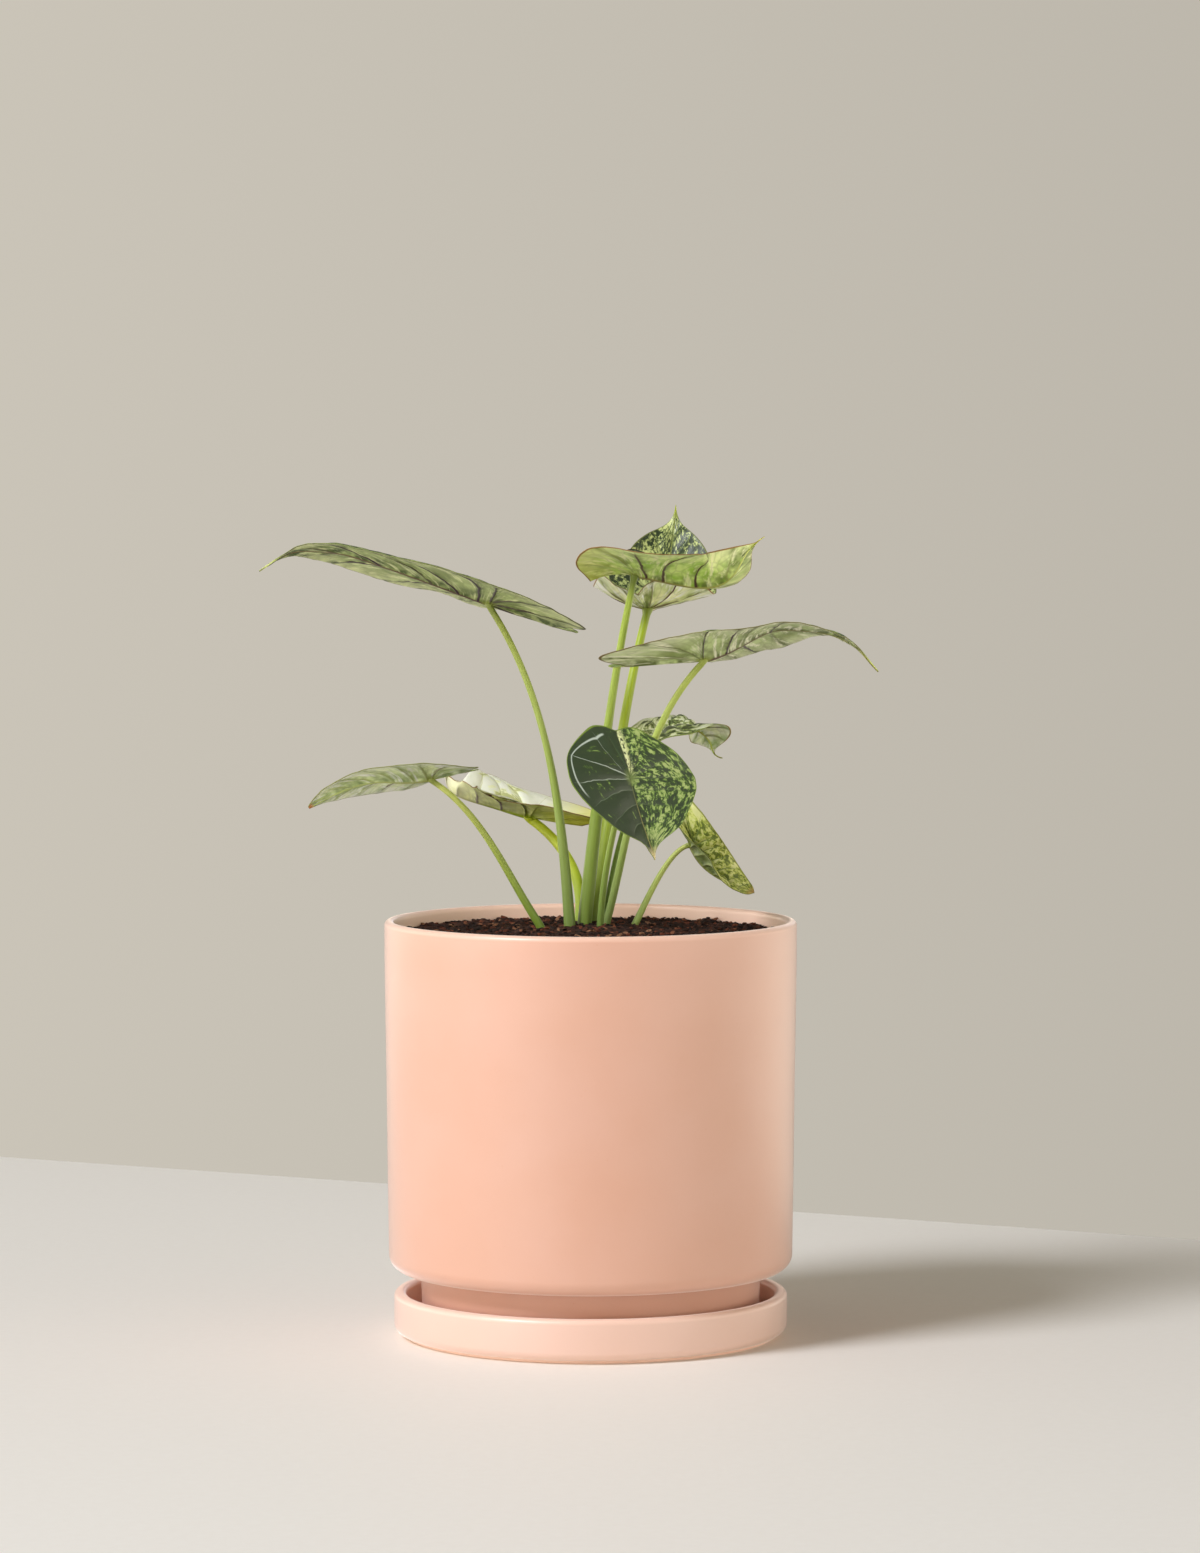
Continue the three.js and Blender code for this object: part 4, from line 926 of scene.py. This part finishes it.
def buildBlade(leaf):
    midrib = midribLine(leaf)
    points, corners, faceKinds, marks, offset = [], [], [], {}, 0
    for side in ("Left", "Right"):
        top, bottom, edge, places = bladeGrid(leaf, side, midrib)
        rows, columns = top.shape[:2]
        upper, lower = offset + np.arange(2 * rows * columns).reshape(2, rows, columns)
        edgeIds = offset + 2 * rows * columns + np.arange(rows)
        offset += 2 * rows * columns + rows
        points += [top.reshape(-1, 3), bottom.reshape(-1, 3), edge.reshape(-1, 3)]
        for name, source in places.items():
            marks.setdefault(name, []).extend([source.reshape(-1, source.shape[-1])] * 2 + [source[:, -1]])
        flip = side == "Right"
        strips = [(ids[:, j], ids[:, j + 1], turned, kind) for j in range(columns - 1)
                  for ids, turned, kind in ((upper, flip, 0), (lower, not flip, 1))]
        strips += [(upper[:, -1], edgeIds, flip, 0), (edgeIds, lower[:, -1], flip, 1)]
        for a, b, turned, kind in strips:
            quads = np.stack([a[:-1], a[1:], b[1:], b[:-1]], -1).reshape(-1, 4)
            corners.append(quads[:, ::-1] if turned else quads)
            faceKinds += [kind] * (rows - 1)
    points = np.concatenate(points)
    _, first, joined = np.unique(np.round(points, 4), axis=0, return_index=True, return_inverse=True)
    joined = joined.ravel()
    faces, picks, kinds = [], [], []
    for quad, kind in zip(np.concatenate(corners), faceKinds):
        kept = [c for n, c in enumerate(quad) if joined[c] != joined[quad[n - 1]]]
        if len(kept) > 2 and len({joined[c] for c in kept}) == len(kept):
            faces.append([int(joined[c]) for c in kept])
            picks += [int(c) for c in kept]
            kinds.append(kind)
    mesh = smoothMesh(leaf["name"] + "Blade", points[first], faces)
    for name, values in marks.items():
        storeCorners(mesh, name, np.concatenate(values)[picks])
    mesh.polygons.foreach_set("material_index", kinds)
    return mesh


corm = {
    "centre": (1, 1, 138), "radii": (17, 15, 14),  # mm, as are its roots
    "scars": 9, "scarDepth": 0.035,  # rings left by old leaves, depth as a share of the radius
    "roots": 4, "rootBase": (6, 130), "rootBend": 112, "rootEnd": 62, "rootRadius": 1.9, "rootTaper": 0.8,
    "rootReach": (36, 6),  # mean, and how much it varies
    "skin": "6b5238", "crease": "3a2a1c", "fibre": "8f7350", "roughness": 0.9,
}


# Rings of points joined into one closed skin with a fan at each end, and the side and ring at each corner
def tubeFaces(count, sides):
    faces, corners = [], []
    last = (count - 1) * sides
    for j in range(sides):
        n = (j + 1) % sides
        for i in range(count - 1):
            faces.append((i * sides + j, i * sides + n, (i + 1) * sides + n, (i + 1) * sides + j))
            corners += [(j, i), (j + 1, i), (j + 1, i + 1), (j, i + 1)]
        faces += [(count * sides, n, j), (count * sides + 1, last + j, last + n)]
        corners += [(j, 0), (j + 1, 0), (j, 0), (j, count - 1), (j, count - 1), (j + 1, count - 1)]
    return faces, corners


stalkShape = {
    "bend": 14,  # mm below the soil's top where a stalk turns in towards the corm
    "crease": 0.45, "cap": 0.4,  # mm from the join to the stalk's end, by the crease's spread and plain
    "flare": 0.45, "flareLength": 1.8,  # how much wider the stalk's end is, and over how many mm
    "turnLength": 2.5,  # mm over which the end turns square to the blade
    "ribs": ((7, 0.018), (12, 0.012)),  # number round the stalk, and height as a share of its radius
}


def stalkLine(leaf, belowSteps=6, aboveSteps=64):
    stalk = leaf["petiole"]
    base, c1, c2 = (np.array(p, float) for p in stalk["path"])
    up, spread, foldRise = crease(leaf, np.array(0.0))
    droop = stalk["radii"][1] * math.tan(max(0, -float(foldRise[0])))
    join = np.array(leaf["join"], float)
    top = join - up * (stalkShape["crease"] * float(spread[0]) + stalkShape["cap"] + droop)
    square = top - up * np.linalg.norm(top - c2)
    neck = stalk.get("neck", 0)
    c2 = c2 * (1 - neck) + square * neck
    centre, radius = np.array(corm["centre"], float), corm["radii"][0]
    inward = (base - centre) * (1, 1, 0)
    inward *= min(1, 0.8 * radius / np.linalg.norm(inward))
    root = centre + inward
    root[2] = centre[2] + corm["radii"][2] * math.sqrt(1 - (np.linalg.norm(inward) / radius) ** 2) - 3
    s = np.linspace(0, 1, belowSteps, endpoint=False)[:, None]
    sunk = bend(root, base - stalkShape["bend"] * unit(c1 - base), base, s)
    s = np.linspace(0, 1, aboveSteps + 1)[:, None]
    rise = (1 - s) ** 3 * base + 3 * s * (1 - s) ** 2 * c1 + 3 * s ** 2 * (1 - s) * c2 + s ** 3 * top
    cap = [top * (1 - w) + (join - up * 0.1) * w for w in (0.35, 0.7, 1.0)]
    return np.vstack([sunk, rise, cap]), up, belowSteps, len(cap)


def buildStalk(leaf, sides=28):
    points, up, belowSteps, capSteps = stalkLine(leaf)
    count = len(points)
    share = np.clip((np.arange(count) - belowSteps) / (count - 1 - belowSteps - capSteps), 0, 1)
    lengths = np.concatenate([[0], np.cumsum(np.linalg.norm(np.diff(points, axis=0), axis=1))])
    fromTop = lengths[-1] - lengths
    sizes = leaf["petiole"]["radii"]
    flare = stalkShape["flare"] * np.exp(-((fromTop / stalkShape["flareLength"]) ** 2))
    radii = np.interp(share, [*sizes], [*sizes.values()]) * (1 + flare)
    blend = np.exp(-((fromTop / stalkShape["turnLength"]) ** 2))[:, None]
    tangents = unit(unit(np.gradient(points, axis=0)) * (1 - blend) + up * blend)
    u = np.array([1.0, 0, 0])
    angles = np.linspace(0, fullTurn, sides, endpoint=False)[:, None]
    (broad, broadHeight), (fine, fineHeight) = stalkShape["ribs"]
    ribs = 1 + broadHeight * np.cos(angles * broad + leaf["seed"]) + fineHeight * np.cos(angles * fine)
    rings = []
    for point, radius, tangent in zip(points, radii, tangents):
        u = unit(u - tangent * (u @ tangent))
        v = np.cross(tangent, u)
        rings.append(point + radius * ribs * (np.cos(angles) * u + np.sin(angles) * v))
    faces, corners = tubeFaces(count, sides)
    mesh = smoothMesh(leaf["name"] + "Stalk", np.vstack(rings + [points[:1], points[-1:]]), faces)
    along = lengths - lengths[belowSteps]
    storeCorners(mesh, "stalkPlace", [(j / sides, share[i], along[i]) for j, i in corners])
    return mesh


def cormBody(rows=48, sides=72):
    heights = np.linspace(-1, 1, rows + 2)[1:-1] * math.pi / 2
    angles = np.linspace(0, fullTurn, sides, endpoint=False)
    groove = 1 - corm["scarDepth"] * (0.5 + 0.5 * np.cos(heights * corm["scars"] * 2))
    ring = np.stack([np.cos(angles), np.sin(angles), np.zeros(sides)], 1)
    rings = [np.cos(h) * g * ring + np.array([0, 0, np.sin(h)]) for h, g in zip(heights, groove)]
    points = np.vstack(rings + [[(0, 0, -1)], [(0, 0, 1)]]) * corm["radii"] + corm["centre"]
    return points, tubeFaces(rows, sides)[0]


def rootBody(number, steps=24, sides=12):
    heading = fullTurn * (number + 0.3) / corm["roots"]
    meanReach, change = corm["rootReach"]
    reach = meanReach + change * math.sin(3 * number)
    near, high = corm["rootBase"]
    ends = [np.array([distance * math.cos(angle), distance * math.sin(angle), z]) for distance, angle, z in (
        (near, heading, high), (0.7 * reach, heading, corm["rootBend"]),
        (reach, heading + 0.3, corm["rootEnd"] + 6 * number))]
    s = np.linspace(0, 1, steps)[:, None]
    line = bend(*ends, s)
    along = unit(np.gradient(line, axis=0))
    across = unit(np.cross(along, [math.sin(heading), -math.cos(heading), 0]))
    third = np.cross(along, across)
    radii = corm["rootRadius"] - corm["rootTaper"] * s[:, 0]
    angles = np.linspace(0, fullTurn, sides, endpoint=False)[:, None]
    rings = [point + radius * (np.cos(angles) * u + np.sin(angles) * v)
             for point, radius, u, v in zip(line, radii, across, third)]
    return np.vstack(rings + [line[:1], line[-1:]]), tubeFaces(steps, sides)[0]


# Dry brown bark of the rootstock, with darker creases and pale fibres
def cormFinish():
    finish, add, shader = newFinish("dry rootstock bark", Roughness=corm["roughness"])
    place = add("TexCoord").outputs["Object"]
    patches = add("TexNoise", [place, 1000 / 9, 4.0])
    tone = add("ValToRGB", [patches], stops=[
        (0.4, corm["crease"]), (0.55, corm["skin"]), (0.7, corm["fibre"])])
    threads = add("TexNoise", [place, 1000 / 1.5, 3.0])
    bump = add("Bump", {"Height": threads, "Strength": 0.6, "Distance": 0.0004})
    feed(shader, {"Base Color": tone, "Normal": bump})
    return finish


def buildCorm():
    vertices, faces = [], []
    for points, shapeFaces in [cormBody()] + [rootBody(i) for i in range(corm["roots"])]:
        faces += [tuple(v + len(vertices) for v in face) for face in shapeFaces]
        vertices += points.tolist()
    mesh = smoothMesh("rootstock", vertices, faces)
    mesh.materials.append(cormFinish())
    return newPiece("rootstock", mesh, "corm")


rootstock = buildCorm()
print("rootstock", len(rootstock.data.polygons), "faces")


# Living leaf: a waxy skin over green tissue. The underside is silvery, with raised veins that carry
# brown-purple pigment in places. The upper side is mottled where patches of tissue lack chlorophyll.
underLook = {
    "pale": "a6ab7c", "deep": "7d8553", "cloudSize": 9,
    "shade": "565b34", "shadeShare": 0.4,  # deeper green beside the midrib and the main veins
    "streak": "c3c7a4", "streakShare": 0.45, "edgeShare": 0.4,
    "net": "6b7048", "netShare": 0.25,
    "vein": "4b2f2a", "plainVein": "7f8748", "veinWidth": 1.25, "veinTipWidth": 0.5,
    "midrib": "7b7a44", "midribTip": "8d9550", "midribWidth": 1.7, "midribTipWidth": 0.6,
    "join": "8a9440", "tip": "a5a76a", "tipStart": 0.93, "margin": "8f9358", "marginWidth": 0.5,
    "rear": "a5a76a", "rearStart": 0.5, "rearShare": 0.0,
    "roughness": 0.5,
}
upperLook = {
    **{key: underLook[key] for key in ("tipStart", "rear", "rearStart", "rearShare", "midribTip")},
    "dark": "2f3f2a", "middle": "57702f", "lime": "93a85a", "pale": "b9c884", "cloudSize": 8,
    "limeShare": (0.45, 0.45), "fleckSize": 1.6,  # left and right half; mm
    "vein": "8d9d6d", "plainVein": "5f7640", "veinWidth": 0.5, "veinTipWidth": 0.2,
    "midrib": "6f8246", "midribWidth": 0.9, "midribTipWidth": 0.4,
    "join": "6f8246", "tip": "b0ad62", "margin": "7d8c42", "marginWidth": 0.4,
    "roughness": 0.4,
}
skinPattern = {
    "spaces": 9,  # between main veins, from lobe to tip
    "halvesApart": 70.0,  # mm, so that the two halves differ
    "slowness": (0.12, 0.28, 0.6),  # along the veins, of streaks, net and flecks
    "wander": 1.2,  # mm, how far the coloured veins stray
}


def underGround(add, look, place):
    cloud = add("TexNoise", [place.flat, 1 / look["cloudSize"], 2.0])
    color = add("Mix", [add("MapRange", [cloud, 0.38, 0.62]), look["pale"], look["deep"]])
    byEdge = add("MapRange", [place.t, 0.45, 1.0, 0.0, look["edgeShare"]])
    byRib = add("MapRange", [place.aside, 10.0, 0.5])
    byVein = add("MapRange", [place.near, 3.0, 0.3, 0.0, 0.8])
    dappled = add("TexNoise", [place.flat, 0.2, 2.0])
    beside = add("Math MAXIMUM", [byRib, byVein])
    shade = cutDown(add, beside, (dappled, 0.32, 0.6, 0.0, look["shadeShare"] * 2.0))
    silver = add("TexNoise", [place.streaked, 0.6, 3.0, 0.6])
    silvered = add("MapRange", [silver, 0.52, 0.64, 0.0, look["streakShare"]])
    net = add("TexVoronoi", [place.netted, 0.42], feature="DISTANCE_TO_EDGE")
    netLine = add("MapRange", [net, 0.1, 0.01, 0.0, look["netShare"]])
    return layered(add, color, (byEdge, look["streak"]), (shade, look["shade"]), (silvered, look["streak"]),
                   (netLine, look["net"]))


def upperGround(add, look, place):
    patches = add("TexNoise", [place.flat, 1 / look["cloudSize"], 1.0])
    flecks = add("TexNoise", {
        "Vector": place.flecked, "Scale": 0.7 / look["fleckSize"], "Detail": 3.0, "Roughness": 0.62,
        "Distortion": 0.4})
    left, right = look["limeShare"]
    push = add("MapRange", [place.x, -0.4, 0.4, 0.33 * (right - 0.5), 0.33 * (left - 0.5)])
    swing = add("MapRange", [patches, 0.3, 0.7, -0.06, 0.06])
    level = add("Math ADD", [add("Math ADD", [flecks, push]), swing])
    middle, lime, pale = (
        add("MapRange", [level, *span]) for span in ((0.43, 0.475), (0.495, 0.53), (0.53, 0.62)))
    bright = add("Mix", [pale, look["lime"], look["pale"]])
    color = layered(add, look["dark"], (middle, look["middle"]), (lime, bright))
    if "rimVein" not in look:
        return color
    # Pale vein that runs inside the margin, and tissue without green beside the notch
    rimVein, strip = look["rimVein"], look["strip"]
    away = add("Math ABSOLUTE", [add("Math SUBTRACT", [place.t, rimVein["at"]])])
    line = cutDown(add, 1.0, (away, 0.02, 0.006), (place.x, 0.0, -1.0),
                   (place.k, rimVein["start"] - 0.2, rimVein["start"]),
                   (place.k, rimVein["stop"] + 0.4, rimVein["stop"]))
    beside = cutDown(add, 1.0, (place.x, strip["width"], 0.5), (place.x, -0.1, 0.3), (place.y, 2.0, -3.0),
                     (flecks, 0.4, 0.5))
    return layered(add, color, (line, look["vein"]), (beside, strip["color"]))


def bladeFinish(leaf, face):
    look = {**(underLook if face == "under" else upperLook), **leaf.get(face, {})}
    finish, add, shader = newFinish(f"{leaf['name']} {face} skin", Roughness=look["roughness"], IOR=1.42)
    k, t, gap = add("SeparateXYZ", [add("Attribute", attribute_name="veinPlace").outputs["Vector"]]).outputs
    x, y, q = add("SeparateXYZ", [add("Attribute", attribute_name="bladePlace").outputs["Vector"]]).outputs
    pigment = add("Attribute", attribute_name="pigment").outputs["Fac"]
    flat = add("CombineXYZ", [x, y, leaf["seed"] * 31.0])
    aside = add("Math ABSOLUTE", [x])

    # Millimetres, drawn out along the finer veins
    acrossVeins = add("Math MULTIPLY", [k, leaf["length"] / skinPattern["spaces"]])
    bySide = add("Math MULTIPLY", [add("Math SIGN", [x]), skinPattern["halvesApart"]])
    across = add("Math ADD", [acrossVeins, bySide])
    alongVeins = add("Math MULTIPLY", [t, leaf["halfWidth"]])
    streaked, netted, flecked = (
        add("CombineXYZ", [across, add("Math MULTIPLY", [alongVeins, share]), leaf["seed"] * 17.0])
        for share in skinPattern["slowness"])

    # Distance from the nearest main vein in millimetres; the veins wander a little
    drift = add("TexNoise", [flat, 0.12, 2.0])
    shift = add("MapRange", [drift, 0.0, 1.0, -skinPattern["wander"], skinPattern["wander"]])
    moved = add("Math ADD", [add("Math DIVIDE", [shift, gap]), k])
    near = add("Math MULTIPLY", [add("Math PINGPONG", [moved, 0.5]), gap])
    place = SimpleNamespace(flat=flat, x=x, y=y, k=k, t=t, aside=aside, near=near, streaked=streaked,
                            netted=netted, flecked=flecked)
    color = (underGround if face == "under" else upperGround)(add, look, place)

    # A line on the skin, as wide as the look says at its start and its end
    def lineShare(distance, along, name, soft, full):
        wide = add("MapRange", [along, 0.0, 1.0, look[name + "Width"] / 2, look[name + "TipWidth"] / 2])
        return distance, add("Math MULTIPLY", [wide, soft]), add("Math MULTIPLY", [wide, full])

    real = add("Math GREATER_THAN", [k, 0.5])
    vein = cutDown(add, real, lineShare(near, t, "vein", 1.5, 0.6), (t, 0.75, 0.97, 1.0, 0.0))
    rib = cutDown(add, 1.0, lineShare(aside, q, "midrib", 1.4, 0.7), (y, -1.5, 0.5))
    ribTone = add("Mix", [q, look["midrib"], look["midribTip"]])
    fromJoin = add("VectorMath LENGTH", [add("CombineXYZ", [x, y, 0.0])]).outputs["Value"]
    flush = add("MapRange", [fromJoin, 4.5, 1.5, 0.0, 0.85])
    tip = add("MapRange", [q, look["tipStart"], 0.98, 0.0, 0.95])
    rear = add("MapRange", [y, -leaf["lobe"] * look["rearStart"], -leaf["lobe"], 0.0, look["rearShare"]])
    rim = look["marginWidth"] / leaf["halfWidth"]
    edge = add("MapRange", [t, 1 - 1.4 * rim, 1 - 0.7 * rim])
    color = layered(
        add, color, (add("Math MULTIPLY", [vein, 0.6]), look["plainVein"]),
        (add("Math MULTIPLY", [vein, pigment]), look["vein"]), (rib, ribTone), (flush, look["join"]),
        (rear, look["rear"]), (tip, look["tip"]), (edge, look["margin"]))

    puckers = add("TexNoise", [streaked, 0.9, 2.0])
    coarse = add("Bump", {"Height": puckers, "Strength": 0.35, "Distance": 0.0006})
    skin = add("TexNoise", [flat, 3.5, 3.0])
    fine = add("Bump", {"Height": skin, "Strength": 0.12, "Distance": 0.0001, "Normal": coarse})
    feed(shader, {"Base Color": color, "Normal": fine})
    return finish


stalkLook = {"top": "8a9440", "stripe": "68782f", "roughness": 0.42}


# Fleshy stalk: smooth green skin with fine lengthwise fibres
def stalkFinish(leaf):
    look = {**stalkLook, **leaf["petiole"]["look"]}
    finish, add, shader = newFinish(leaf["name"] + " stalk skin", Roughness=look["roughness"], IOR=1.42)
    stalkPlace = add("Attribute", attribute_name="stalkPlace").outputs["Vector"]
    turned, share, length = add("SeparateXYZ", [stalkPlace]).outputs
    tone = add("ValToRGB", [share], stops=[
        (0.0, look["low"]), (0.4, look["middle"]), (0.93, look["high"]), (0.985, look["top"])])
    angle = add("Math MULTIPLY", [turned, fullTurn])
    slow = add("Math MULTIPLY", [length, 0.02])
    around = add("CombineXYZ", [add("Math SINE", [angle]), add("Math COSINE", [angle]), slow])
    fibres = add("TexNoise", [around, 4.0, 3.0])
    stripes = add("MapRange", [fibres, 0.5, 0.7, 0.0, 0.4])
    bump = add("Bump", {"Height": fibres, "Strength": 0.3, "Distance": 0.0002})
    feed(shader, {"Base Color": add("Mix", [stripes, tone, look["stripe"]]), "Normal": bump})
    return finish


for number, leaf in enumerate(leafTable, 1):
    leaf["seed"] = number
    mesh = buildBlade(leaf)
    for face in ("upper", "under"):
        mesh.materials.append(bladeFinish(leaf, face))
    newPiece(leaf["name"] + "Blade", mesh, leaf["name"] + "_blade")
    stalk = buildStalk(leaf)
    stalk.materials.append(stalkFinish(leaf))
    newPiece(leaf["name"] + "Stalk", stalk, leaf["name"] + "_petiole")
    print(leaf["name"], len(mesh.polygons), "blade faces,", len(stalk.polygons), "stalk faces")
